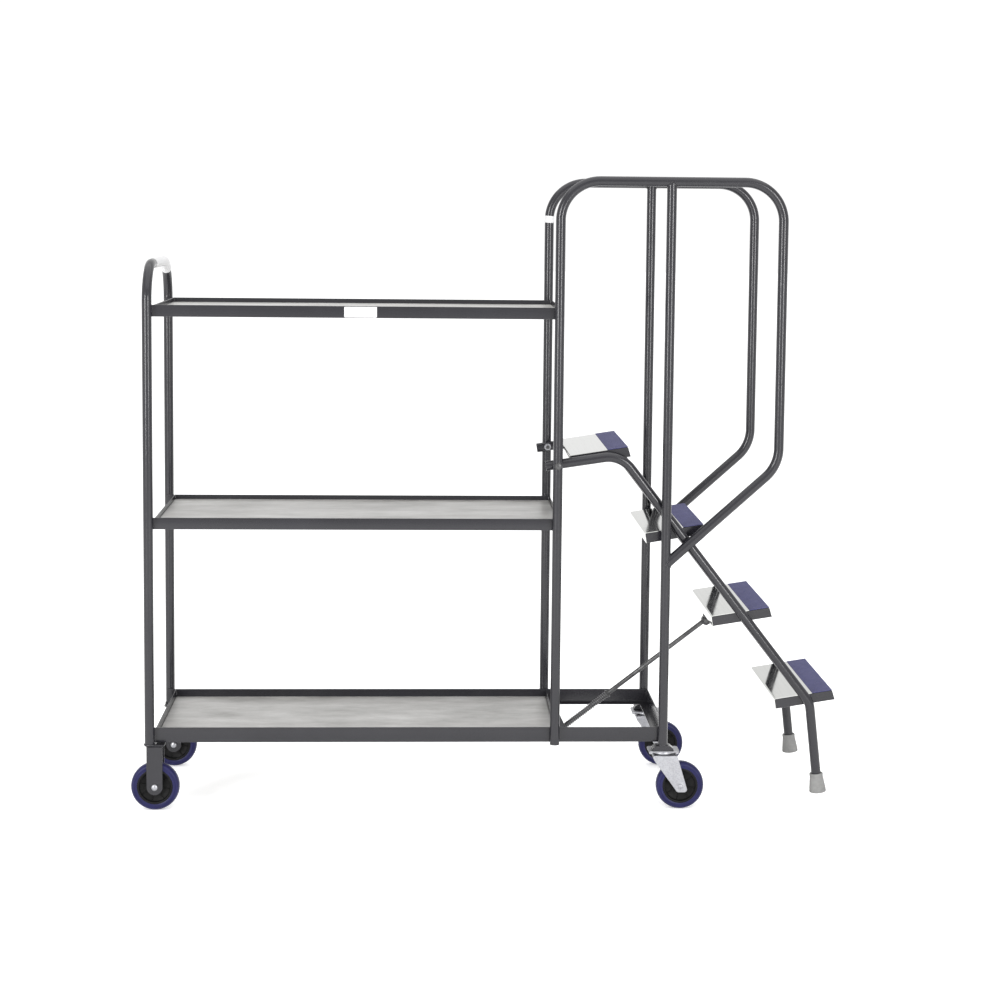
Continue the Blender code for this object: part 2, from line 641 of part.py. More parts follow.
def build():
    clear_scene()
    hoop()
    shelf_frame("top_shelf_frame", TOP_SHELF, SHELF_X1)
    shelf_frame("middle_shelf_frame", MID_SHELF, SHELF_X1)
    shelf_frame("base_frame", BASE_SHELF, BASE_X1)
    board("top_shelf_board", TOP_SHELF[0], SHELF_X1 - RAIL_T - GAP)
    board("middle_shelf_board", MID_SHELF[0], SHELF_X1 - RAIL_T - GAP)
    board("base_board", BASE_SHELF[0], CROSS_X - RAIL_T - GAP)
    crossmember()
    strut_bracket()
    steps = []
    for tag, side in (("front", -1), ("rear", 1)):
        guard_loop("guard_rail_" + tag, side * POST_Y)
        guard_post("guard_post_" + tag, side * POST_Y)
        post_pad("post_pad_" + tag, side * WHEEL_Y)
        y = side * WHEEL_Y
        fixed_fork("fixed_fork_" + tag, y)
        swivel_plate("swivel_plate_" + tag, y)
        fork = swivel_fork("swivel_fork_" + tag, y)
        fixed = (FIXED_X, y, WHEEL_R)
        pivot_empty("fixed_axle_" + tag, fixed, caster_wheel("fixed_" + tag, fixed))
        rolling = (SWIVEL_X + TRAIL, y, WHEEL_R)
        swivel = pivot_empty("swivel_axis_" + tag, (SWIVEL_X, y, SWIVEL_TOP), [fork])
        wheel = pivot_empty("swivel_axle_" + tag, rolling, caster_wheel("swivel_" + tag, rolling))
        wheel.parent = swivel
        wheel.matrix_parent_inverse = swivel.matrix_world.inverted()
        steps.append(stringer("stringer_" + tag, side * STRINGER_Y))
        steps.append(rubber_foot("rubber_foot_" + tag, side * STRINGER_Y))
        pivot_bolt("pivot_bolt_" + tag, side)
        pivot_nut("pivot_nut_" + tag, side)
    for k, centre in enumerate(TREADS):
        steps.append(tread_carrier("tread_tray_%d" % (k + 1), centre))
        steps.append(tread_plate("tread_sheet_%d" % (k + 1), centre))
        steps.append(tread_nosing("tread_nosing_%d" % (k + 1), centre))
    steps.append(strut_tab())
    steps.append(strut_pin())
    pivot_empty("ladder_axis", (PIVOT_X, 0, PIVOT_Z), steps)
    pivot_empty("strut_axis", (EYE_X, 0, EYE_Z), [strut_rod(), trunnion(), spring()])


build()
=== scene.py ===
"""Looks of the mobile ladder stand: three shelves, a handle hoop, two
guard-rail loops and a sprung step unit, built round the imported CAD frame."""

import json
import math

import bmesh
import bpy
from mathutils import Matrix, Vector


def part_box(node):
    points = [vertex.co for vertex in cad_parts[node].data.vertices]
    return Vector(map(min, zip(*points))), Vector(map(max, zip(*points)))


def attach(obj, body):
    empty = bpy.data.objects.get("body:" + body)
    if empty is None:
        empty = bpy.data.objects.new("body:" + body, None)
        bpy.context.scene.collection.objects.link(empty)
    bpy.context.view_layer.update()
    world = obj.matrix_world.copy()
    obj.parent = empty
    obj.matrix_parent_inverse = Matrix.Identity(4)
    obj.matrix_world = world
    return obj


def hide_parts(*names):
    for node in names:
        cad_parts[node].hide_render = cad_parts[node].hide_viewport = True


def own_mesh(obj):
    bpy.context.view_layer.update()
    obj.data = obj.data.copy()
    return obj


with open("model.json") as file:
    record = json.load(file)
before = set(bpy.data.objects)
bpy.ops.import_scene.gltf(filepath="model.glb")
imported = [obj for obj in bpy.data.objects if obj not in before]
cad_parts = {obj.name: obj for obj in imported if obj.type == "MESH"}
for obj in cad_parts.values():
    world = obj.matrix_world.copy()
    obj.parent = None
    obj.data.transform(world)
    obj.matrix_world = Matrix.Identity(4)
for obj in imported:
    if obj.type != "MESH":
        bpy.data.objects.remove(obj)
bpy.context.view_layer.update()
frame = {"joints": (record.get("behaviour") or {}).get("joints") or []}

# ---------------------------------------------------- positions from the CAD
R = 0.0125                    # tube radius
WALL = 0.0015
T = 0.003                     # angle-iron thickness
FLANGE = 0.025
BEND_R = 0.100


def span(node):
    low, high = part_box(node)
    return Vector(low), Vector(high)


def middle(node):
    low, high = span(node)
    return (low + high) / 2


HOOP_X = middle("handle_hoop").x
POST_Y = span("handle_hoop")[1].y - R
HOOP_TOP = span("handle_hoop")[1].z - R
HOOP_FOOT = span("fixed_fork_front")[1].z
LEG_X = span("guard_rail_front")[0].x + R
LEG_FOOT = span("guard_rail_front")[0].z
OUTER_X = span("guard_rail_front")[1].x - R
GUARD_TOP = span("guard_rail_front")[1].z - R
MID_POST_X = middle("guard_post_front").x
PAD_TOP = span("post_pad_front")[1].z
RAIL_Y = span("base_frame")[1].y
SHELF_X0 = HOOP_X + 0.015
SHELF_X1 = span("top_shelf_frame")[1].x
BASE_X1 = span("base_frame")[1].x
CROSS_X = span("base_crossmember")[1].x
LEVELS = {n: (span(n)[0].z, span(n)[1].z) for n in ("top_shelf_frame", "middle_shelf_frame", "base_frame")}
GUARD_LOW = 0.9045
GUARD_SLOPE = math.radians(42.0)

ANCHORS = {j["name"]: Vector(j["pos_m"]) for j in frame["joints"] if j.get("pos_m")}
PIVOT = ANCHORS["ladder_pivot"]
EYE = ANCHORS["strut_eye_pivot"]
PIN = middle("strut_pin")
PIN.y = 0.0

STRINGER_Y = 0.199
KNEE_X = HOOP_X + 1.2085
ANKLE_X = HOOP_X + 1.7135
RUN_SLOPE = math.radians(8.65)
STAIR_SLOPE = math.radians(52.16)
FOOT_LEAN = math.radians(6.6)
FOOT_BOTTOM = 0.0372
FOOT_LENGTH = 0.050
TREAD_SPOTS = ((1.1546, 0.9358), (1.3542, 0.7345), (1.5312, 0.5159), (1.7017, 0.2961))
TREADS = [(HOOP_X + x, z) for x, z in TREAD_SPOTS]
TREAD_TILT = math.radians(9.0)
TREAD_DEPTH = 0.160
TREAD_HIGH = 0.027
TREAD_HALF = 0.186
SHEET_T = 0.0012
NOSING_DEPTH = 0.059
NOSING_T = 0.002

WHEEL_R = 0.0625
WHEEL_HALF = 0.016
TYRE_DEEP = 0.0165
WHEEL_Y = -middle("tyre_fixed_front").y
FIXED_X = middle("tyre_fixed_front").x
AXLE_X = middle("tyre_swivel_front").x
SWIVEL_X = middle("swivel_plate_front").x
SWIVEL_TOP = span("swivel_plate_front")[1].z
FORK_OUT = 0.0206
SPRING_START = 0.0165
SPRING_END = 0.162

# Local (x, y, z) of a flat outline carried to (x, z, y) or (z, x, y).
UPRIGHT = Matrix(((1, 0, 0, 0), (0, 0, 1, 0), (0, 1, 0, 0), (0, 0, 0, 1)))
ACROSS = Matrix(((0, 0, 1, 0), (1, 0, 0, 0), (0, 1, 0, 0), (0, 0, 0, 1)))


# --------------------------------------------------------------- flat shapes
def rounded(outline, radius, steps=5):
    """Closed flat outline with its corners rounded; radius may be a list."""
    radii = radius if isinstance(radius, (list, tuple)) else [radius] * len(outline)
    count = len(outline)
    points = []
    for k, corner in enumerate(outline):
        here = Vector(corner)
        if radii[k] <= 0:
            points.append(here)
            continue
        back = (Vector(outline[k - 1]) - here).normalized()
        ahead = (Vector(outline[(k + 1) % count]) - here).normalized()
        half = back.angle(ahead) / 2
        reach = radii[k] / math.tan(half)
        centre = here + (back + ahead).normalized() * (radii[k] / math.sin(half))
        first = here + back * reach - centre
        last = here + ahead * reach - centre
        sweep = math.atan2(first.x * last.y - first.y * last.x, first.dot(last))
        for i in range(steps + 1):
            points.append(centre + Matrix.Rotation(sweep * i / steps, 2) @ first)
    return points


def rectangle(x0, y0, x1, y1):
    return [(x0, y0), (x1, y0), (x1, y1), (x0, y1)]


def counter_clockwise(outline):
    points = [Vector(p) for p in outline]
    area = sum(a.x * b.y - a.y * b.x for a, b in zip(points, points[1:] + points[:1]))
    return points if area > 0 else points[::-1]


def inset(outline, depth):
    count = len(outline)
    points = []
    for k in range(count):
        u = (outline[k] - outline[k - 1]).normalized()
        v = (outline[(k + 1) % count] - outline[k]).normalized()
        left_u, left_v = Vector((-u.y, u.x)), Vector((-v.y, v.x))
        points.append(outline[k] + (left_u + left_v) * (depth / max(1 + left_u.dot(left_v), 0.3)))
    return points


def disc(radius, sides):
    angles = [2 * math.pi / sides * i for i in range(sides)]
    return [Vector((radius * math.cos(a), radius * math.sin(a))) for a in angles]


def hexagon(across):
    return rounded(disc(across / 2 / math.cos(math.pi / 6), 6), across * 0.05, 2)


def rounded_path(corners, radius, steps):
    """Corner points of a planar path, with each inner corner rounded."""
    points = [Vector(corners[0])]
    radii = radius if isinstance(radius, tuple) else (radius,) * (len(corners) - 2)
    for k in range(1, len(corners) - 1):
        here = Vector(corners[k])
        back = (Vector(corners[k - 1]) - here).normalized()
        ahead = (Vector(corners[k + 1]) - here).normalized()
        half = back.angle(ahead) / 2
        centre = here + (back + ahead).normalized() * (radii[k - 1] / math.sin(half))
        arm = here + back * (radii[k - 1] / math.tan(half)) - centre
        normal = back.cross(ahead).normalized()
        for i in range(steps + 1):
            points.append(centre + Matrix.Rotation(-(math.pi - 2 * half) * i / steps, 3, normal) @ arm)
    points.append(Vector(corners[-1]))
    return points


def resampled(path, step, closed):
    points = [Vector(p) for p in path] + ([Vector(path[0])] if closed else [])
    lengths = [(b - a).length for a, b in zip(points, points[1:])]
    total = sum(lengths)
    count = max(4, round(total / step))
    marks = [total * i / count for i in range(count if closed else count + 1)]
    found, k, passed = [], 0, 0.0
    for mark in marks:
        while k < len(lengths) - 1 and passed + lengths[k] < mark:
            passed += lengths[k]
            k += 1
        share = (mark - passed) / max(lengths[k], 1e-9)
        found.append(points[k].lerp(points[k + 1], min(share, 1.0)))
    return found


def basis(origin, along, hint=(1, 0, 0)):
    """Frame with Z along a direction and X near the hint."""
    z = Vector(along).normalized()
    x = (Vector(hint) - z * z.dot(Vector(hint))).normalized()
    y = z.cross(x)
    turn = Matrix((x, y, z)).transposed().to_4x4()
    return Matrix.Translation(Vector(origin)) @ turn


def carried(place, points, z=0.0):
    """Flat points put into a frame, at one height above its origin."""
    return [place @ Vector((p.x, p.y, z)) for p in points]


def on_slope(centre, tilt):
    return Matrix.Translation((centre[0], 0, centre[1])) @ Matrix.Rotation(-tilt, 4, "Y")


def saddle(centre, axis, sign):
    """Slides a tube's end along itself on to the skin of a round bar."""
    centre, axis = Vector(centre), Vector(axis).normalized()

    def meet(point, along):
        d = along - axis * along.dot(axis)
        m = point - centre
        m = m - axis * m.dot(axis)
        a, b, c = d.dot(d), m.dot(d), m.dot(m) - (R - 0.0004) ** 2
        root = math.sqrt(max(b * b - a * c, 0.0))
        return point + along * ((-b - sign * root) / a)

    return meet


# ------------------------------------------------------------- mesh building
class Shape:
    """One piece under construction; each call adds a closed skin to it."""

    def __init__(self, name, body, *looks):
        self.name, self.body, self.looks = name, body, looks
        self.bm = bmesh.new()

    def face(self, corners, look):
        unique = list(dict.fromkeys(corners))
        if len(unique) > 2:
            self.bm.faces.new(unique).material_index = look

    def skin(self, rings, closed=False, look=0):
        rows = [[self.bm.verts.new(p) for p in ring] for ring in rings]
        pairs = list(zip(rows, rows[1:])) + ([(rows[-1], rows[0])] if closed else [])
        for low, high in pairs:
            count = max(len(low), len(high))
            for i in range(count):
                j = (i + 1) % count
                corners = [low[i % len(low)], low[j % len(low)], high[j % len(high)], high[i % len(high)]]
                self.face(corners, look)
        if not closed:
            for row in (rows[0][::-1], rows[-1]):
                if len(row) > 2:
                    self.face(row, look)

    def pipe(self, points, normal, radius=R, wall=WALL, ends=(None, None), sides=40):
        """Hollow tube along a planar path; returns its outer rings."""
        skins = []
        normal = Vector(normal)
        last = len(points) - 1
        for size in (radius, radius - wall):
            rings = []
            for k, point in enumerate(points):
                ahead = points[min(k + 1, last)] - point
                behind = point - points[max(k - 1, 0)]
                along = (ahead.normalized() + behind.normalized()).normalized()
                side = along.cross(normal).normalized()
                stretch = 1.0 / math.cos(ahead.angle(behind) / 2) if 0 < k < last else 1.0
                ring = [point + normal * p.x + side * p.y * stretch for p in disc(size, sides)]
                end = ends[0] if k == 0 else ends[1] if k == last else None
                rings.append([end(p, along) for p in ring] if end else ring)
            skins.append(rings)
        self.skin(skins[0] + skins[1][::-1], closed=True)
        return skins[0]

    def turned(self, profile, place, sides=48, closed=False, look=0):
        """Profile of (radius, height) pairs turned about the frame's Z."""
        rings = []
        for r, h in profile:
            flat = disc(r, sides) if r > 1e-7 else [Vector((0, 0))]
            rings.append(carried(place, flat, h))
        self.skin(rings, closed=closed, look=look)

    def plate(self, outline, place, low, high, bevel=0.0004, look=0):
        """Flat outline given a thickness, with its edges broken."""
        full = counter_clockwise(outline)
        small = inset(full, bevel)
        levels = ((small, low), (full, low + bevel), (full, high - bevel), (small, high))
        self.skin([carried(place, points, z) for points, z in levels], look=look)

    def block(self, lo, hi, corner, bevel):
        outline = rounded(rectangle(lo[0], lo[1], hi[0], hi[1]), corner, 4)
        self.plate(outline, Matrix.Identity(4), lo[2], hi[2], bevel)

    def bead(self, path, radius, hint=(1, 0, 0), closed=False):
        """Weld bead with the scalloped ridges of its pools."""
        points = resampled(path, 0.0030 / 4, closed)
        count = len(points)
        rings = []
        for k, point in enumerate(points):
            ahead = points[(k + 1) % count] if closed or k < count - 1 else point
            behind = points[k - 1] if closed or k > 0 else point
            place = basis(point, ahead - behind, hint)
            size = radius * (0.90 + 0.20 * abs(math.sin(math.pi * k / 4)))
            if not closed and k in (0, count - 1):
                size *= 0.5
            rings.append(carried(place, disc(size, 8)))
        self.skin(rings, closed=closed)

    def bolt(self, place, across, high, look=0):
        """Hexagon head on its washer, seated at the frame's origin."""
        washer = 0.0012
        self.plate(disc(across * 0.62, 28), place, 0, washer, 0.0003, look)
        self.plate(hexagon(across), place, washer, high * 0.86, 0.0002, look)
        crown = [(0, high * 0.8), (across * 0.49, high * 0.8), (across * 0.47, high * 0.9),
                 (across * 0.40, high), (0, high)]
        self.turned(crown, place, 28, look=look)

    def strap(self, stations, thick):
        """Pressed strap: (point, normal, left, right) stations along its run."""
        rings = []
        for point, normal, left, right in stations:
            point, normal = Vector(point), Vector(normal).normalized()
            edge = min(0.0005, (right - left) * 0.3)
            section = ((left + edge, 0), (right - edge, 0), (right, -edge), (right, edge - thick),
                       (right - edge, -thick), (left + edge, -thick), (left, edge - thick), (left, -edge))
            rings.append([Vector((x, point.y, point.z)) + normal * n for x, n in section])
        self.skin(rings)

    def done(self, stands_for=()):
        bmesh.ops.recalc_face_normals(self.bm, faces=self.bm.faces)
        mesh = bpy.data.meshes.new(self.name)
        self.bm.to_mesh(mesh)
        self.bm.free()
        for look in self.looks:
            mesh.materials.append(look)
        mesh.shade_smooth()
        mesh.set_sharp_from_angle(angle=math.radians(38))
        made = bpy.data.objects.new(self.name, mesh)
        bpy.context.scene.collection.objects.link(made)
        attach(made, self.body)
        if stands_for:
            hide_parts(*stands_for)
        return made


# ----------------------------------------------------------------- materials
class Look:
    """Procedural material on a Principled shader."""

    def __init__(self, name, **sockets):
        self.made = bpy.data.materials.new(name)
        self.made.use_nodes = True
        self.tree = self.made.node_tree
        self.shader = self.tree.nodes["Principled BSDF"]
        self.height = None
        for socket, value in sockets.items():
            self.shader.inputs[socket.replace("_", " ")].default_value = value

    def node(self, kind, **links):
        made = self.tree.nodes.new(kind)
        for socket, value in links.items():
            target = made.inputs[socket.replace("_", " ")]
            if isinstance(value, bpy.types.NodeSocket):
                self.tree.links.new(value, target)
            else:
                target.default_value = value
        return made

    def coords(self, scale=(1, 1, 1)):
        source = self.node("ShaderNodeTexCoord").outputs["Object"]
        return self.node("ShaderNodeMapping", Vector=source, Scale=scale).outputs["Vector"]

    def noise(self, scale, detail=3.0, rough=0.55, stretch=(1, 1, 1)):
        place = self.coords(stretch)
        made = self.node("ShaderNodeTexNoise", Vector=place, Scale=scale, Detail=detail, Roughness=rough)
        return made.outputs["Fac"]

    def cells(self, scale):
        return self.node("ShaderNodeTexVoronoi", Vector=self.coords(), Scale=scale).outputs["Distance"]

    def ranged(self, value, low, high, start=0.3, end=0.7):
        made = self.node("ShaderNodeMapRange", Value=value)
        for socket, number in (("From Min", start), ("From Max", end), ("To Min", low), ("To Max", high)):
            made.inputs[socket].default_value = number
        return made.outputs["Result"]

    def ramp(self, value, stops):
        made = self.node("ShaderNodeValToRGB", Fac=value)
        band = made.color_ramp
        while len(band.elements) < len(stops):
            band.elements.new(0.5)
        for element, (place, colour) in zip(band.elements, stops):
            element.position = place
            element.color = (*colour, 1.0)
        return made.outputs["Color"]

    def mixed(self, share, first, second):
        made = self.tree.nodes.new("ShaderNodeMix")
        made.data_type = "RGBA"
        for index, value in ((0, share), (6, first), (7, second)):
            if isinstance(value, bpy.types.NodeSocket):
                self.tree.links.new(value, made.inputs[index])
            else:
                made.inputs[index].default_value = value
        return made.outputs[2]

    def colour(self, output):
        self.tree.links.new(output, self.shader.inputs["Base Color"])

    def roughness(self, field, low, high):
        self.tree.links.new(self.ranged(field, low, high), self.shader.inputs["Roughness"])

    def bump(self, output, distance, strength=1.0):
        made = self.node("ShaderNodeBump", Height=output, Distance=distance, Strength=strength)
        if self.height:
            self.tree.links.new(self.height, made.inputs["Normal"])
        self.height = made.outputs["Normal"]
        self.tree.links.new(self.height, self.shader.inputs["Normal"])


def paint_look():
    """Dark grey stove enamel: glossy, with a faint orange peel."""
    look = Look("dark_grey_enamel", Specular_IOR_Level=0.42, Coat_Weight=0.10, Coat_Roughness=0.10)
    patch = look.noise(6.0, 4.0)
    tone = look.ramp(patch, [(0.30, (0.0085, 0.0082, 0.0112)), (0.70, (0.0118, 0.0115, 0.0150))])
    specks = look.ranged(look.noise(900.0, 1.0), 0.0, 0.5, 0.66, 0.78)
    look.colour(look.mixed(specks, tone, (0.019, 0.019, 0.021, 1.0)))
    look.roughness(look.noise(22.0, 5.0, 0.6), 0.20, 0.27)
    look.bump(look.noise(320.0, 2.0), 0.00001, 0.15)
    return look.made


def board_look():
    """Grey coated board: warm mottling, fine specks, soft polish marks."""
    look = Look("grey_coated_board", Specular_IOR_Level=0.5)
    shades = [(0.34, (0.21, 0.205, 0.195)), (0.50, (0.34, 0.335, 0.325)), (0.64, (0.46, 0.455, 0.445))]
    cloud = look.ramp(look.noise(8.0, 7.0, 0.72, (0.40, 1, 1)), shades)
    grain = look.ranged(look.noise(60.0, 5.0, 0.7, (0.35, 1, 1)), 0.0, 0.35, 0.42, 0.66)
    tone = look.mixed(grain, cloud, (0.36, 0.355, 0.345, 1.0))
    specks = look.ranged(look.noise(700.0, 1.0), 0.0, 0.55, 0.62, 0.72)
    look.colour(look.mixed(specks, tone, (0.30, 0.295, 0.285, 1.0)))
    look.roughness(look.noise(9.0, 5.0, 0.65, (0.25, 1, 1)), 0.30, 0.46)
    look.bump(look.noise(420.0, 2.0), 0.0001, 0.4)
    return look.made


def tyre_look():
    """Blue polyurethane, a little scuffed on the tread."""
    look = Look("blue_polyurethane", Specular_IOR_Level=0.2, Subsurface_Weight=0.02)
    look.shader.inputs["Subsurface Radius"].default_value = (0.002, 0.002, 0.006)
    patch = look.noise(38.0, 5.0, 0.6)
    tone = look.ramp(patch, [(0.30, (0.0080, 0.0080, 0.042)), (0.70, (0.0125, 0.0125, 0.062))])
    dust = look.ranged(look.noise(210.0, 4.0, 0.7), 0.0, 0.5, 0.60, 0.78)
    look.colour(look.mixed(dust, tone, (0.026, 0.026, 0.066, 1.0)))
    look.roughness(look.noise(75.0, 4.0), 0.32, 0.50)
    look.bump(look.noise(600.0, 2.0), 0.0001, 0.4)
    return look.made


def plastic_look():
    """Black moulded plastic with a fine spark-eroded grain."""
    look = Look("black_moulded_plastic", Specular_IOR_Level=0.12)
    shades = [(0.3, (0.004, 0.004, 0.004)), (0.7, (0.007, 0.007, 0.007))]
    look.colour(look.ramp(look.noise(26.0, 4.0), shades))
    look.roughness(look.noise(120.0, 3.0), 0.42, 0.58)
    look.bump(look.noise(1500.0, 2.0), 0.00008, 0.5)
    return look.made


def zinc_look():
    """Bright zinc plate with its soft spangle."""
    look = Look("bright_zinc", Metallic=1.0)
    spangle = look.cells(260.0)
    tone = look.ramp(spangle, [(0.0, (0.27, 0.272, 0.290)), (0.6, (0.37, 0.372, 0.392))])
    stain = look.ranged(look.noise(48.0, 5.0, 0.65), 0.0, 0.5, 0.52, 0.74)
    look.colour(look.mixed(stain, tone, (0.25, 0.25, 0.255, 1.0)))
    look.roughness(look.noise(130.0, 4.0), 0.30, 0.46)
    look.bump(look.noise(800.0, 2.0), 0.00006, 0.4)
    return look.made


def steel_look():
    """Oiled black steel."""
    look = Look("oiled_black_steel", Metallic=0.75)
    look.colour(look.ramp(look.noise(90.0, 4.0), [(0.3, (0.055, 0.055, 0.057)), (0.7, (0.10, 0.10, 0.10))]))
    look.roughness(look.noise(160.0, 4.0), 0.28, 0.46)
    look.bump(look.noise(900.0, 2.0), 0.00006, 0.4)
    return look.made


def spring_look():
    """Drawn spring wire with a grey phosphate finish."""
    look = Look("spring_wire", Metallic=0.9)
    look.colour(look.ramp(look.noise(140.0, 4.0), [(0.3, (0.12, 0.12, 0.125)), (0.7, (0.20, 0.20, 0.205))]))
    look.roughness(look.noise(220.0, 3.0), 0.26, 0.42)
    look.bump(look.noise(1200.0, 2.0), 0.00004, 0.4)
    return look.made


def sheet_look():
    """Mirror-like stainless sheet with faint rolling lines."""
    look = Look("bright_steel_sheet", Metallic=1.0)
    brushed = look.noise(240.0, 4.0, 0.6, (1, 0.02, 1))
    look.colour(look.ramp(brushed, [(0.25, (0.50, 0.505, 0.49)), (0.75, (0.56, 0.565, 0.545))]))
    smear = look.noise(12.0, 5.0, 0.65)
    look.roughness(smear, 0.055, 0.13)
    look.bump(brushed, 0.00002, 0.25)
    return look.made


def grit_look():
    """Blue-grey anti-slip strip with a coarse mineral grit."""
    look = Look("gritted_blue_strip", Specular_IOR_Level=0.45)
    grains = look.cells(720.0)
    tone = look.ramp(look.noise(30.0, 5.0, 0.7), [(0.3, (0.038, 0.038, 0.108)), (0.7, (0.055, 0.055, 0.138))])
    sparkle = look.ranged(grains, 1.0, 0.0, 0.10, 0.34)
    look.colour(look.mixed(look.ranged(sparkle, 0.0, 0.38, 0.2, 1.0), tone, (0.12, 0.12, 0.21, 1.0)))
    look.roughness(look.noise(260.0, 3.0), 0.66, 0.90)
    look.bump(sparkle, 0.0005, 0.8)
    look.bump(look.noise(420.0, 3.0), 0.0003, 0.5)
    return look.made


def foot_look():
    """Light grey rubber with a dusting of scuffs."""
    look = Look("light_grey_rubber", Specular_IOR_Level=0.35)
    shades = [(0.3, (0.145, 0.145, 0.142)), (0.7, (0.200, 0.200, 0.195))]
    tone = look.ramp(look.noise(55.0, 5.0, 0.65), shades)
    scuff = look.ranged(look.noise(190.0, 4.0, 0.7), 0.0, 0.6, 0.60, 0.76)
    look.colour(look.mixed(scuff, tone, (0.125, 0.125, 0.122, 1.0)))
    look.roughness(look.noise(130.0, 3.0), 0.58, 0.80)
    look.bump(look.noise(900.0, 2.0), 0.0001, 0.5)
    return look.made


def paper_look(name, tone, dirt):
    """White vinyl label with faint handling marks."""
    look = Look(name, Specular_IOR_Level=0.45)
    smudge = look.ranged(look.noise(34.0, 6.0, 0.7), 0.0, 0.5, 0.55, 0.80)
    look.colour(look.mixed(smudge, (*tone, 1.0), (*dirt, 1.0)))
    look.roughness(look.noise(90.0, 3.0), 0.34, 0.50)
    look.bump(look.noise(500.0, 2.0), 0.00006, 0.3)
    return look.made


PAINT = paint_look()
BOARD = board_look()
TYRE = tyre_look()
PLASTIC = plastic_look()
ZINC = zinc_look()
STEEL = steel_look()
SPRING = spring_look()
SHEET = sheet_look()
GRIT = grit_look()
RUBBER = foot_look()
LABEL = paper_look("white_label", (0.54, 0.54, 0.545), (0.47, 0.47, 0.47))
PRINT = paper_look("grey_print", (0.36, 0.37, 0.38), (0.44, 0.44, 0.44))


# --------------------------------------------------------------------- frame
def hoop():
    shape = Shape("hoop_tube", "frame", PAINT)
    foot = HOOP_FOOT + 0.0003
    corners = [(HOOP_X, -POST_Y, foot), (HOOP_X, -POST_Y, HOOP_TOP),
               (HOOP_X, POST_Y, HOOP_TOP), (HOOP_X, POST_Y, foot)]
    rings = shape.pipe(rounded_path(corners, BEND_R, 20), (1, 0, 0))
    for ring in (rings[0], rings[-1]):
        shape.bead([p + Vector((0, 0, 0.0008)) for p in ring], 0.0021, (0, 0, 1), closed=True)
    shape.done(["handle_hoop"])
    label = Shape("hoop_wrap_label", "frame", LABEL)
    corners = [(HOOP_X, -0.105, HOOP_TOP), (HOOP_X, POST_Y, HOOP_TOP), (HOOP_X, POST_Y, HOOP_TOP - BEND_R)]
    path = [p for p in rounded_path(corners, BEND_R, 20) if p.y < POST_Y - 0.032]
    label.pipe(path, (1, 0, 0), R + 0.00035, 0.0003)
    label.done()


def guard(tag, side):
    y = side * POST_Y
    shape = Shape("guard_tube_" + tag, "frame", PAINT)
    low = GUARD_LOW - (OUTER_X - MID_POST_X) * math.tan(GUARD_SLOPE)
    corners = [(LEG_X, y, LEG_FOOT), (LEG_X, y, GUARD_TOP), (OUTER_X, y, GUARD_TOP), (OUTER_X, y, GUARD_LOW),
               (MID_POST_X, y, low)]
    end = saddle((MID_POST_X, y, 0), (0, 0, 1), 1)
    rings = shape.pipe(rounded_path(corners, BEND_R, 20), (0, 1, 0), ends=(None, end))
    shape.bead(rings[-1], 0.0021, (-1, 0, -0.9), closed=True)
    shape.done(["guard_rail_" + tag])

    post = Shape("guard_post_tube_" + tag, "frame", PAINT)
    points = [Vector((MID_POST_X, y, PAD_TOP + 0.0002)), Vector((MID_POST_X, y, GUARD_TOP))]
    rings = post.pipe(points, (0, 1, 0), ends=(None, saddle((0, y, GUARD_TOP), (1, 0, 0), 1)))
    post.bead([p - Vector((0, 0, 0.0004)) for p in rings[-1]], 0.0020, (0, 0, 1), closed=True)
    post.bead([p + Vector((0, 0, 0.0006)) for p in rings[0]], 0.0021, (0, 0, 1), closed=True)
    post.done(["guard_post_" + tag])


def angle_section(high, depth=FLANGE):
    """Angle iron seen end on: x inward from the outer face, y upward."""
    outline = [(0, 0), (depth, 0), (depth, T), (T, T), (T, high), (0, high)]
    return rounded(outline, [0.0009, 0.0006, 0.0014, 0.0026, 0.0012, 0.0006], 4)


def shelf(name, x1, posts):
    low, high = LEVELS[name]
    shape = Shape(name.replace("_frame", "_angle_ring"), "frame", PAINT)
    section = angle_section(high - low)
    rings = []
    mitres = ((SHELF_X0, -RAIL_Y, 1, 1), (x1, -RAIL_Y, -1, 1),
              (x1, RAIL_Y, -1, -1), (SHELF_X0, RAIL_Y, 1, -1))
    for x, y, sx, sy in mitres:
        rings.append([Vector((x + sx * p.x, y + sy * p.x, low + p.y)) for p in section])
    shape.skin(rings, closed=True)
    for side in (-1, 1):
        ys = sorted((side * RAIL_Y, side * (RAIL_Y - T)))
        shape.block((HOOP_X - 0.008, ys[0], low), (SHELF_X0, ys[1], high), 0.0006, 0.0006)
        corner_y = side * (RAIL_Y - T - 0.0008)
        for x in (SHELF_X0 + T + 0.0008, x1 - T - 0.0008):
            shape.bead([(x, corner_y, low + 0.020), (x, corner_y, high - 0.001)], 0.0016)
        for post in posts:
            for shift in (-0.0052, 0.0052):
                seam = side * (RAIL_Y + 0.0010)
                path = [(post + shift, seam, low + 0.003), (post + shift, seam, high - 0.003)]
                shape.bead(path, 0.0013)
    shape.done([name])


def boards():
    for name in ("top_shelf_board", "middle_shelf_board", "base_board"):
        low, high = span(name)
        shape = Shape(name + "_panel", "frame", BOARD)
        shape.block(low, high, 0.0025, 0.0009)
        shape.done([name])


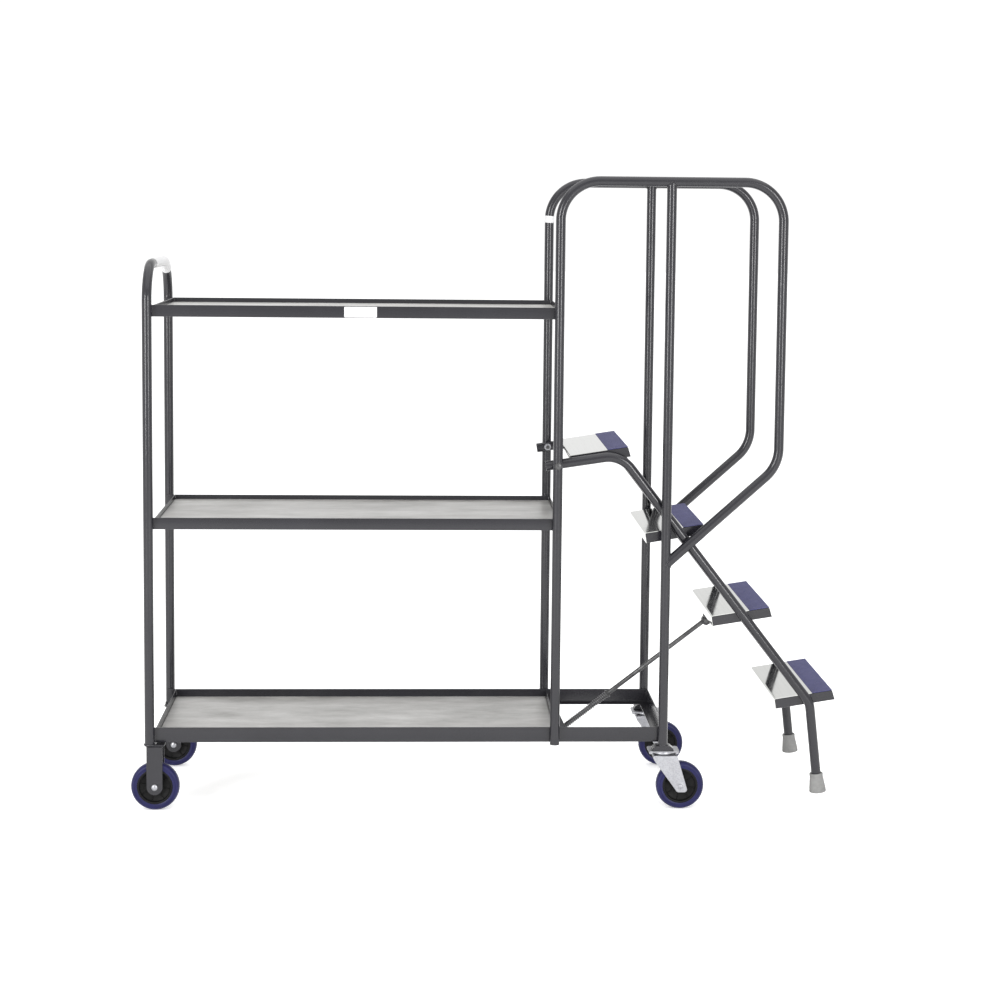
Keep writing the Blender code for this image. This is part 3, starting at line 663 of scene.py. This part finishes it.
def crossmember():
    low, high = span("base_crossmember")
    shape = Shape("base_crossmember_angle", "frame", PAINT)
    open_y = RAIL_Y - FLANGE - 0.0003
    section = [Vector((CROSS_X - p.x, low.z + p.y)) for p in angle_section(high.z - low.z, 0.028)]
    shape.plate(section, UPRIGHT, -open_y, open_y, 0.0003)
    for side in (-1, 1):
        ys = sorted((side * open_y, side * high.y))
        shape.block((CROSS_X - T, ys[0], low.z + T + 0.0003), (CROSS_X, ys[1], high.z), 0.0005, 0.0005)
        x = CROSS_X + 0.0008
        y = side * (high.y - 0.0004)
        shape.bead([(x, y, low.z + 0.006), (x, y, high.z - 0.001)], 0.0015)
    shape.done(["base_crossmember"])


def strut_bracket():
    low, high = span("strut_bracket")
    shape = Shape("strut_bracket_channel", "frame", PAINT, ZINC)
    inside, outside = 0.0155, 0.0185
    back = rectangle(-inside, EYE.z + 0.016, inside, high.z)
    shape.plate(rounded(back, 0.001, 3), ACROSS, low.x, low.x + 0.003, 0.0004)
    lug = [(low.x, low.z), (high.x, low.z), (high.x, EYE.z + 0.014), (low.x + 0.014, high.z), (low.x, high.z)]
    lug = rounded(lug, [0.001, 0.0135, 0.0135, 0.004, 0.001], 8)
    for side in (-1, 1):
        ys = sorted((side * inside, side * outside))
        shape.plate(lug, UPRIGHT, ys[0], ys[1], 0.0005)
        bush = basis((EYE.x, side * outside, EYE.z), (0, side, 0))
        ring = [(0.0054, 0), (0.0088, 0), (0.0086, 0.0009), (0.0054, 0.0010)]
        shape.turned(ring, bush, 28, closed=True, look=1)
        x, y = low.x + 0.0008, side * 0.0193
        shape.bead([(x, y, low.z + 0.034), (x, y, high.z - 0.002)], 0.0014)
    shape.bolt(basis((low.x + 0.003, 0, high.z - 0.013), (1, 0, 0), (0, 1, 0)), 0.010, 0.0042, look=1)
    shape.done(["strut_bracket"])


# ------------------------------------------------------------------- casters
def wheel(tag, body, centre):
    place = basis(centre, (0, 1, 0))
    half, inner = WHEEL_HALF, WHEEL_R - TYRE_DEEP
    steps = ((0.0, 0.0012), (0.0015, 0.0004), (0.0055, 0.0002), (0.0062, 0.0009), (0.0070, 0.0009),
             (0.0077, 0.0002), (0.0098, 0.0004), (0.0122, 0.0018), (0.0142, 0.0042), (0.0156, 0.0075),
             (0.0163, 0.0115))
    rows = [(inner + r, half - h) for r, h in steps] + [(WHEEL_R, half - 0.0155)]
    rubber = Shape("tyre_ring_" + tag, body, TYRE)
    rubber.turned([(r, -h) for r, h in rows] + [(r, h) for r, h in rows[::-1]], place, 96, closed=True)
    rubber.done(["tyre_" + tag])

    rim = inner - 0.0002
    steps = ((0.0, 0.0014), (0.0012, 0.0006), (0.0042, 0.0006), (0.0050, 0.0012), (0.0062, 0.0085),
             (0.0080, 0.0098))
    boss = ((0.0185, 0.0092), (0.0172, 0.0080), (0.0162, 0.0004), (0.0150, -0.0006), (0.0125, -0.0007),
            (0.0118, -0.0001), (0.0050, -0.0001))
    edge = [(rim - r, half - h) for r, h in steps] + [(r, half - h) for r, h in boss]
    hub = Shape("wheel_hub_body_" + tag, body, PLASTIC, ZINC)
    hub.turned([(r, -h) for r, h in edge] + [(r, h) for r, h in edge[::-1]], place, 72, closed=True)
    for side in (-1, 1):
        for k in range(8):
            outward = Matrix.Rotation(math.pi * k / 4 + 0.2, 3, "Y") @ Vector((1, 0, 0))
            spoke = basis(centre, (0, side, 0), outward)
            rib = [(0.0160, -0.0011), (rim - 0.0052, -0.0008), (rim - 0.0052, 0.0008), (0.0160, 0.0011)]
            hub.plate(rounded(rib, 0.0001, 1), spoke, half - 0.0095, half - 0.0078, 0.0004)
        cap = basis(centre, (0, side, 0))
        hub.turned([(0.0046, half), (0.0112, half), (0.0110, half + 0.0007), (0.0085, half + 0.0010),
                    (0.0046, half + 0.0010)], cap, 32, closed=True, look=1)
    hub.done(["wheel_hub_" + tag])


def axle(tag, body, centre, large):
    reach = FORK_OUT + 0.0003
    shape = Shape("axle_bolt_body_" + tag, body, ZINC)
    head = basis((centre[0], centre[1] - reach, centre[2]), (0, -1, 0))
    nut = basis((centre[0], centre[1] + reach, centre[2]), (0, 1, 0))
    shape.turned([(0, -2 * reach), (0.0040, -2 * reach), (0.0040, 0), (0, 0)], head, 24)
    if large:
        dome = [(0, 0), (0.0084, 0), (0.0084, 0.0011), (0.0078, 0.0024), (0.0062, 0.0037),
                (0.0036, 0.0046), (0, 0.0049)]
        shape.turned(dome, head, 36)
    else:
        dome = [(0, 0), (0.0060, 0), (0.0060, 0.0012), (0.0052, 0.0024), (0.0032, 0.0033), (0, 0.0036)]
        shape.turned(dome, head, 32)
    shape.bolt(nut, 0.0130, 0.0058)
    shape.turned([(0.0, 0.0052), (0.0036, 0.0052), (0.0036, 0.0058), (0.0031, 0.0062), (0, 0.0062)], nut, 20)
    shape.done(["axle_bolt_" + tag])


def fixed_caster(tag, side):
    y = side * WHEEL_Y
    shape = Shape("fixed_bracket_" + tag, "frame", PAINT)
    low, high = span("fixed_fork_" + tag)
    shape.block((low.x, low.y, HOOP_FOOT - T), (high.x, high.y, HOOP_FOOT), 0.006, 0.0006)
    half = 0.0205
    stations = []
    top = HOOP_FOOT - T
    bend = 0.0045
    drops = [0.0, 0.012, 0.035, top - WHEEL_R - bend]
    rounds = [math.radians(a) for a in range(9, 88, 9)] + [math.radians(88)]
    for hand in (-1, 1):
        leg = [((0, y + hand * FORK_OUT, top - bend - d), (0, hand, 0), half) for d in drops]
        for a in rounds:
            spot = (0, y + hand * FORK_OUT, WHEEL_R - half * math.sin(a))
            leg.append((spot, (0, hand, 0), half * math.cos(a)))
        arc = []
        for k in range(6):
            a = math.radians(90 * k / 5)
            normal = (0, hand * math.cos(a), math.sin(a))
            reach = hand * (FORK_OUT - bend) + hand * bend * math.cos(a)
            place = (0, y + reach, top - bend + bend * math.sin(a))
            arc.append((place, normal, half))
        run = leg[::-1] + arc[1:]
        stations += run if hand < 0 else run[::-1]
    shape.strap([(p, n, FIXED_X - w, FIXED_X + w) for p, n, w in stations], T)
    for shift in (-1, 1):
        x = FIXED_X + shift * half
        path = [(x, y - FORK_OUT + 0.002, top - 0.0006), (x, y + FORK_OUT - 0.002, top - 0.0006)]
        shape.bead(path, 0.0015)
    shape.done(["fixed_fork_" + tag])
    centre = (FIXED_X, y, WHEEL_R)
    wheel("fixed_" + tag, "wheel_fixed_" + tag, centre)
    axle("fixed_" + tag, "wheel_fixed_" + tag, centre, True)


def swivel_caster(tag, side):
    y = side * WHEEL_Y
    pad = Shape("post_pad_block_" + tag, "frame", PAINT)
    low, high = span("post_pad_" + tag)
    side_view = [(low.x, low.z), (high.x, low.z), (high.x, high.z - 0.007), (high.x - 0.009, high.z),
                 (low.x + 0.009, high.z), (low.x, high.z - 0.007)]
    side_view = rounded(side_view, [0.0008, 0.0008, 0.003, 0.003, 0.003, 0.003], 4)
    pad.plate(side_view, UPRIGHT, low.y, high.y, 0.0010)
    for x in (low.x - 0.0003, high.x + 0.0003):
        pad.bead([(x, low.y + 0.002, low.z + 0.0010), (x, high.y - 0.002, low.z + 0.0010)], 0.0015)
    pad.done(["post_pad_" + tag])

    plate = Shape("swivel_top_plate_" + tag, "frame", ZINC, STEEL)
    low, high = span("swivel_plate_" + tag)
    plate.block((low.x, low.y, SWIVEL_TOP - T), (high.x, high.y, SWIVEL_TOP), 0.007, 0.0006)
    place = basis((SWIVEL_X, y, SWIVEL_TOP), (0, 0, 1))
    race = [(0, -0.0020), (0.0245, -0.0028), (0.0262, -0.0036), (0.0270, -0.0056), (0.0268, -0.0080),
            (0.0252, -0.0092), (0.0240, -0.0095), (0.0205, -0.0117), (0.0060, -0.0120), (0.0060, -0.0238),
            (0.0096, -0.0240), (0.0100, -0.0250), (0.0098, -0.0290), (0.0070, -0.0300), (0, -0.0300)]
    plate.turned(race, place, 64)
    for x in (-0.0335, 0.0335):
        for shift in (-0.0195, 0.0195):
            spot = basis((SWIVEL_X + x, y + shift, SWIVEL_TOP - T), (0, 0, -1))
            plate.bolt(spot, 0.0095, 0.0055)
    plate.done(["swivel_plate_" + tag])

    fork = Shape("swivel_fork_pressing_" + tag, "caster_fork_" + tag, ZINC)
    crown = SWIVEL_TOP - 0.0125
    bend = 0.005
    foot = WHEEL_R - 0.016
    back_edge, front_edge = SWIVEL_X - 0.0285, SWIVEL_X + 0.0365
    left = [(crown - bend, back_edge), (crown - 0.014, SWIVEL_X - 0.0245), (foot + 0.0075, AXLE_X - 0.0135),
            (foot + 0.0040, AXLE_X - 0.0115), (foot + 0.0015, AXLE_X - 0.0090), (foot, AXLE_X - 0.0060)]
    right = [(crown - bend, front_edge), (crown - 0.014, SWIVEL_X + 0.0395), (foot + 0.0075, AXLE_X + 0.0180),
             (foot + 0.0040, AXLE_X + 0.0168), (foot + 0.0015, AXLE_X + 0.0150), (foot, AXLE_X + 0.0120)]
    stations = []
    for hand in (-1, 1):
        leg = [((0, y + hand * FORK_OUT, z), (0, hand, 0), x0, x1) for (z, x0), (_, x1) in zip(left, right)]
        arc = []
        for k in range(6):
            a = math.radians(90 * k / 5)
            shrink = 0.0015 * k / 5
            spot = (0, y + hand * (FORK_OUT - bend + bend * math.cos(a)), crown - bend + bend * math.sin(a))
            arc.append((spot, (0, hand * math.cos(a), math.sin(a)), back_edge + shrink, front_edge - shrink))
        run = leg[::-1] + arc[1:]
        stations += run if hand < 0 else run[::-1]
    fork.strap(stations, T)
    fork.turned([(0.0064, -0.0004), (0.0215, -0.0004), (0.0205, 0.0006), (0.0100, 0.0009), (0.0064, 0.0009)],
                basis((SWIVEL_X, y, crown - 0.0007), (0, 0, 1)), 48, closed=True)
    for hand in (-1, 1):
        boss = basis((AXLE_X, y + hand * FORK_OUT, WHEEL_R), (0, hand, 0))
        ring = [(0.0043, -0.0002), (0.0098, -0.0002), (0.0090, 0.0002), (0.0043, 0.0002)]
        fork.turned(ring, boss, 32, closed=True)
    fork.done(["swivel_fork_" + tag])
    centre = (AXLE_X, y, WHEEL_R)
    wheel("swivel_" + tag, "wheel_swivel_" + tag, centre)
    axle("swivel_" + tag, "wheel_swivel_" + tag, centre, False)


# ----------------------------------------------------------------- step unit
def run_height(x):
    return PIVOT.z + (x - PIVOT.x) * math.tan(RUN_SLOPE)


ANKLE_Z = run_height(KNEE_X) - (ANKLE_X - KNEE_X) * math.tan(STAIR_SLOPE)
FOOT_AXIS = Vector((math.sin(FOOT_LEAN), 0, -math.cos(FOOT_LEAN)))
SHIN = (ANKLE_Z - FOOT_BOTTOM - 0.022 * math.sin(FOOT_LEAN)) / math.cos(FOOT_LEAN)


def stringer(tag, side):
    y = side * STRINGER_Y
    start = PIVOT.x - 0.029
    ankle = Vector((ANKLE_X, y, ANKLE_Z))
    corners = [(start, y, run_height(start)), (KNEE_X, y, run_height(KNEE_X)), tuple(ankle),
               tuple(ankle + FOOT_AXIS * (SHIN - 0.008))]
    shape = Shape("stringer_tube_" + tag, "ladder", PAINT)
    shape.pipe(rounded_path(corners, (0.075, 0.055), 14), (0, 1, 0))
    slope = Vector((math.cos(STAIR_SLOPE), 0, -math.sin(STAIR_SLOPE)))
    knee = Vector((KNEE_X, y, run_height(KNEE_X)))
    for x, z in TREADS[1:]:
        place = on_slope((x, z), TREAD_TILT)
        inside = place.inverted()
        start_point, run = inside @ knee, inside.to_3x3() @ slope
        bottom, top = (start_point + run * ((level - start_point.z) / run.z)
                       for level in (-TREAD_HIGH + 0.002, -0.003))
        for shift in (-0.004, 0.004):
            path = [place @ Vector((p.x + shift, side * (TREAD_HALF + 0.0004), p.z)) for p in (bottom, top)]
            shape.bead(path, 0.0012)
    shape.done(["stringer_" + tag])

    foot = Shape("foot_boot_" + tag, "ladder", RUBBER)
    end = ankle + FOOT_AXIS * SHIN
    bore = R + 0.0002
    profile = [(0, 0.0006), (0.0150, 0.0006), (0.0156, 0.0), (0.0205, 0.0), (0.0217, 0.0008),
               (0.0220, 0.0024), (0.0219, 0.0050), (0.0213, 0.0062), (0.0214, 0.0100), (0.0206, 0.0150),
               (0.0190, 0.0270), (0.0176, 0.0385), (0.0170, 0.0428), (0.0176, 0.0440), (0.0177, 0.0480),
               (0.0170, 0.0496), (0.0150, FOOT_LENGTH), (bore, FOOT_LENGTH - 0.0004), (bore, 0.0077),
               (0, 0.0077)]
    foot.turned(profile, basis(end, -FOOT_AXIS, (0, 1, 0)), 56)
    foot.done(["rubber_foot_" + tag])


def tread(k, centre):
    place = on_slope(centre, TREAD_TILT)
    half, side = TREAD_DEPTH / 2, TREAD_HALF
    front = half - NOSING_DEPTH - 0.0003
    roll = 0.005

    tray = Shape("tread_tray_pressing_%d" % k, "ladder", PAINT)
    top = -SHEET_T - 0.0003
    back = -half + SHEET_T + 0.0003
    corners = [(back, -TREAD_HIGH), (half - 0.0020, -TREAD_HIGH), (half - 0.0055, top), (back, top)]
    outer = rounded(corners, [0, 0.0012, 0.0030, 0.0040], 5)
    wall = 0.002
    hollow = [(back + wall, -TREAD_HIGH), (half - 0.0020 - wall, -TREAD_HIGH),
              (half - 0.0055 - wall, top - wall), (back + wall, top - wall)]
    inner = rounded(hollow, [0, 0.0008, 0.0014, 0.0024], 5)
    edge = 0.0007
    small = inset(outer, edge)
    rims = ((small, -side), (outer, -side + edge), (outer, side - edge), (small, side))
    shells = [[place @ Vector((p.x, y, p.y)) for p in points] for points, y in rims]
    wells = [[place @ Vector((p.x, y, p.y)) for p in inner] for y in (-side + wall, side - wall)]
    open_tray(tray, shells, wells)
    tray.done(["tread_tray_%d" % k])

    sheet = Shape("tread_sheet_panel_%d" % k, "ladder", SHEET)
    turns = [math.radians(180 - 10 * i) for i in range(10)]
    skins = []
    for radius in (roll, roll - SHEET_T):
        curve = [(-half + roll + radius * math.cos(a), -roll + radius * math.sin(a)) for a in turns]
        skins.append([(-half + roll - radius, -TREAD_HIGH)] + curve + [(front, radius - roll)])
    rings = []
    reach = side - 0.0003
    for out, into in zip(*skins):
        corners = ((out, -reach), (out, reach), (into, reach), (into, -reach))
        rings.append([place @ Vector((p[0], y, p[1])) for p, y in corners])
    sheet.skin(rings)
    sheet.done(["tread_sheet_%d" % k])

    strip = Shape("tread_grit_strip_%d" % k, "ladder", GRIT)
    high = NOSING_T - SHEET_T
    outline = [(half - NOSING_DEPTH, -SHEET_T), (half - 0.0057, -SHEET_T), (half - 0.0060, high),
               (half - NOSING_DEPTH, high)]
    strip.plate(rounded(outline, [0.0003, 0.0004, 0.0010, 0.0006], 3), place @ UPRIGHT, -side, side, 0.0005)
    strip.done(["tread_nosing_%d" % k])


def open_tray(shape, shells, hollow):
    """Skin over four outer sections and two inner ones. The first edge of
    each section is its open underside."""
    rows = [[shape.bm.verts.new(p) for p in ring] for ring in shells]
    inner = [[shape.bm.verts.new(p) for p in ring] for ring in hollow]
    count = len(rows[0])
    for low, high in list(zip(rows, rows[1:])) + [(inner[1], inner[0])]:
        for i in range(1, count):
            j = (i + 1) % count
            shape.face([low[i], low[j], high[j], high[i]], 0)
    for cap in (rows[0], rows[-1][::-1], inner[0][::-1], inner[1]):
        shape.face(cap, 0)
    a, b, c, d = ((row[0], row[1]) for row in rows)
    near, far = ((row[0], row[1]) for row in inner)
    shape.face([b[0], c[0], far[0], near[0]], 0)
    shape.face([c[1], b[1], near[1], far[1]], 0)
    shape.face([a[0], b[0], near[0], near[1], b[1], a[1]], 0)
    shape.face([d[1], c[1], far[1], far[0], c[0], d[0]], 0)


def pivot(tag, side):
    outer = POST_Y + R + 0.0003
    inner = STRINGER_Y - R - 0.0003
    bolt = Shape("pivot_bolt_body_" + tag, "frame", STEEL)
    head = basis((PIVOT.x, side * outer, PIVOT.z), (0, side, 0), (0.4, 0, 1))
    bolt.bolt(head, 0.0150, 0.0064)
    tip = inner - 0.0123 - outer
    bolt.turned([(0, 0.001), (0.0049, 0.001), (0.0049, tip + 0.0005), (0.0044, tip), (0, tip)], head, 28)
    bolt.done(["pivot_bolt_" + tag])
    nut = Shape("pivot_nut_body_" + tag, "frame", ZINC)
    place = basis((PIVOT.x, side * inner, PIVOT.z), (0, -side, 0), (1, 0, 0.3))
    nut.turned(rectangle(0.0052, 0, 0.0092, 0.0010), place, 32, closed=True)
    hexes = hexagon(0.0150)
    bore = [p.normalized() * 0.0052 for p in hexes]
    small = inset(hexes, 0.0007)
    levels = ((hexes, 0.0011), (hexes, 0.0072), (small, 0.0079), (bore, 0.0079), (bore, 0.0011))
    nut.skin([carried(place, points, z) for points, z in levels], closed=True)
    nut.done(["pivot_nut_" + tag])


# -------------------------------------------------------------- spring strut
ALONG = (PIN - EYE).normalized()
STRUT = basis(EYE, ALONG, (0, 1, 0))
STRUT_LENGTH = (PIN - EYE).length


def strut():
    tab = Shape("strut_tab_ear", "ladder", PAINT)
    place = on_slope(TREADS[2], TREAD_TILT)
    pin = place.inverted() @ PIN
    back, low = -TREAD_DEPTH / 2, -TREAD_HIGH - 0.0003
    outline = [(back + 0.002, low), (back + 0.062, low), (pin.x + 0.013, pin.z - 0.009),
               (pin.x, pin.z - 0.014), (pin.x - 0.011, pin.z - 0.009), (back + 0.002, low - 0.007)]
    ear = rounded(outline, [0.0005, 0.0005, 0.006, 0.005, 0.006, 0.002], 5)
    for side in (-1, 1):
        ys = sorted((side * 0.009, side * 0.012))
        tab.plate(ear, place @ UPRIGHT, ys[0], ys[1], 0.0005)
    web = rectangle(back + 0.004, low, back + 0.060, low - 0.002)
    tab.plate(rounded(web, 0.0003, 1), place @ UPRIGHT, -0.0092, 0.0092, 0.0003)
    tab.done(["strut_tab"])

    bolt = Shape("strut_pin_body", "ladder", STEEL)
    place = basis(PIN, (0, 1, 0))
    profile = [(0, -0.0152), (0.0040, -0.0152), (0.0064, -0.0146), (0.0070, -0.0136), (0.0070, -0.0123),
               (0.0040, -0.0123), (0.0040, 0.0123), (0.0064, 0.0123), (0.0064, 0.0132), (0.0040, 0.0134),
               (0.0038, 0.0148), (0, 0.0152)]
    bolt.turned(profile, place, 32)
    bolt.done(["strut_pin"])

    rod = Shape("strut_rod_body", "strut_rod_body", STEEL, ZINC)
    thread = []
    for i in range(19):
        low = -0.0335 + 0.0011 * i
        thread += [(0.0058, low), (0.0053, low + 0.00055)]
    end = STRUT_LENGTH - 0.008
    shank = [(0.0056, -0.0122), (0.0060, -0.0116), (0.0060, end), (0, end)]
    rod.turned([(0, -0.0340), (0.0052, -0.0340)] + thread + shank, STRUT, 32)
    eye = basis(PIN, (0, 1, 0))
    rod.turned([(0.0056, -0.0072), (0.0060, -0.0076), (0.0104, -0.0076), (0.0111, -0.0068), (0.0111, 0.0068),
                (0.0104, 0.0076), (0.0060, 0.0076), (0.0056, 0.0072)], eye, 48, closed=True)
    nut = STRUT @ Matrix.Translation((0, 0, -0.0120))
    hexes = hexagon(0.0165)
    rod.plate(hexes, nut, -0.0072, 0.0, 0.0007, look=1)
    collar = SPRING_END + 0.0004
    rises = ((0.0058, 0.0), (0.0110, 0.0), (0.0115, 0.0004), (0.0115, 0.0019), (0.0110, 0.0023),
             (0.0095, 0.0024), (0.0090, 0.0030), (0.0090, 0.0040), (0.0084, 0.0045), (0.0058, 0.0045))
    rod.turned([(r, collar + h) for r, h in rises], STRUT, 40, closed=True)
    rod.done(["strut_rod"])

    block = Shape("strut_eye_block", "strut_eye_body", STEEL)
    outline = rounded(rectangle(-0.0143, -0.0108, 0.0143, 0.0108), 0.002, 4)
    block.plate(outline, STRUT, -0.0110, 0.0155, 0.0008)
    for side in (-1, 1):
        trunnion = basis((EYE.x, side * 0.0140, EYE.z), (0, side, 0))
        profile = [(0, -0.001), (0.0050, -0.001), (0.0050, 0.0079), (0.0044, 0.0085), (0, 0.0085)]
        block.turned(profile, trunnion, 28)
    block.done(["strut_eye"])


def spring():
    """Compression spring with closed, ground end coils."""
    shape = Shape("coil_spring_wire", "strut_eye_body", SPRING)
    wire, mean, turns, steps = 0.00105, 0.0080, 27.5, 20
    closed = 0.36                 # pitch of the end coils, as a share of the rest
    low, high = SPRING_START + wire, SPRING_END - wire
    count = int(turns * steps)
    marks = []
    for k in range(count + 1):
        rest = min(k / steps, turns - k / steps)
        marks.append(closed + (1 - closed) * min(max((rest - 1.0) / 0.8, 0.0), 1.0))
    total = sum(marks[:-1])
    height, points = 0.0, []
    for k in range(count + 1):
        angle = 2 * math.pi * k / steps
        level = low + (high - low) * height / total
        points.append(STRUT @ Vector((mean * math.cos(angle), mean * math.sin(angle), level)))
        height += marks[k]
    rings = []
    for k, point in enumerate(points):
        ahead, behind = points[min(k + 1, count)], points[max(k - 1, 0)]
        place = basis(point, ahead - behind, ALONG)
        rings.append(carried(place, disc(wire, 10)))
    shape.skin(rings)
    made = shape.done(["coil_spring"])
    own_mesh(made)


# -------------------------------------------------------------------- labels
def labels():
    band = Shape("guard_leg_band", "frame", LABEL)
    place = Matrix.Translation((LEG_X, POST_Y, 1.528)) @ Matrix.Rotation(math.radians(4), 4, "Y")
    profile = [(R + 0.0002, -0.0095), (R + 0.0005, -0.0093), (R + 0.0005, 0.0093), (R + 0.0002, 0.0095)]
    band.turned(profile, place, 48)
    band.done()
    low, high = LEVELS["top_shelf_frame"]
    plate = Shape("shelf_front_plate", "frame", LABEL, PRINT)
    x0, x1 = HOOP_X + 0.497, HOOP_X + 0.580
    low, high = low + 0.0015, high - 0.0015
    outline = rounded(rectangle(x0, low, x1, high), 0.002, 4)
    plate.plate(outline, UPRIGHT, -RAIL_Y - 0.0007, -RAIL_Y, 0.0002)
    plate.done()


# ------------------------------------------------------------ camera, lights
def area_light(name, place, aim, size, power):
    data = bpy.data.lights.new(name, "AREA")
    data.shape = "RECTANGLE"
    data.size, data.size_y = size
    data.energy = power
    made = bpy.data.objects.new(name, data)
    bpy.context.scene.collection.objects.link(made)
    made.location = place
    made.rotation_euler = (Vector(aim) - Vector(place)).to_track_quat("-Z", "Y").to_euler()


def studio():
    world = bpy.data.worlds.new("studio")
    bpy.context.scene.world = world
    world.use_nodes = True
    backdrop = world.node_tree.nodes["Background"]
    backdrop.inputs["Color"].default_value = (1.0, 1.0, 1.0, 1.0)
    backdrop.inputs["Strength"].default_value = 1.06
    area_light("left_softbox", (-3.3, -4.2, 1.8), (0, 0, 1.3), (0.9, 2.4), 150)
    area_light("right_softbox", (2.7, -4.5, 1.8), (0, 0, 1.3), (0.9, 2.4), 125)
    area_light("overhead", (0.0, -0.5, 4.6), (0, 0, 0), (6.0, 6.0), 120)

    bm = bmesh.new()
    bmesh.ops.create_grid(bm, x_segments=8, y_segments=8, size=45.0)
    mesh = bpy.data.meshes.new("studio_floor")
    bm.to_mesh(mesh)
    bm.free()
    floor = bpy.data.objects.new("studio_floor", mesh)
    bpy.context.scene.collection.objects.link(floor)
    look = Look("pale_floor", Specular_IOR_Level=0.2)
    look.colour(look.ramp(look.noise(1.5, 3.0), [(0.3, (0.93, 0.93, 0.93)), (0.7, (0.95, 0.95, 0.95))]))
    look.roughness(look.noise(5.0, 2.0), 0.7, 0.8)
    look.shader.inputs["Emission Color"].default_value = (1.0, 1.0, 1.0, 1.0)
    look.shader.inputs["Emission Strength"].default_value = 0.30
    mesh.materials.append(look.made)


def camera():
    data = bpy.data.cameras.new("camera")
    made = bpy.data.objects.new("camera", data)
    bpy.context.scene.collection.objects.link(made)
    yaw, pitch, roll = -0.0419, 0.0942, 0.0095
    turn = (Matrix.Rotation(yaw, 4, "Z") @ Matrix.Rotation(math.pi / 2 - pitch, 4, "X")
            @ Matrix.Rotation(roll, 4, "Z"))
    made.matrix_world = Matrix.Translation((-0.1886, -5.3886, 1.5585)) @ turn
    data.sensor_width = 36.0
    data.lens = 2.03505 * data.sensor_width
    data.shift_y = -0.100
    data.clip_end = 200.0
    bpy.context.scene.camera = made


# ------------------------------------------------------------------ assembly
hoop()
SHELVES = (("top_shelf_frame", SHELF_X1, (HOOP_X, LEG_X)), ("middle_shelf_frame", SHELF_X1, (HOOP_X, LEG_X)),
           ("base_frame", BASE_X1, (HOOP_X, LEG_X, MID_POST_X)))
for shelf_name, shelf_end, shelf_posts in SHELVES:
    shelf(shelf_name, shelf_end, shelf_posts)
boards()
crossmember()
strut_bracket()
for hand_tag, hand_side in (("front", -1), ("rear", 1)):
    guard(hand_tag, hand_side)
    fixed_caster(hand_tag, hand_side)
    swivel_caster(hand_tag, hand_side)
    stringer(hand_tag, hand_side)
    pivot(hand_tag, hand_side)
for number, tread_centre in enumerate(TREADS):
    tread(number + 1, tread_centre)
strut()
spring()
labels()
studio()
camera()

bpy.context.scene.view_settings.view_transform = "Standard"
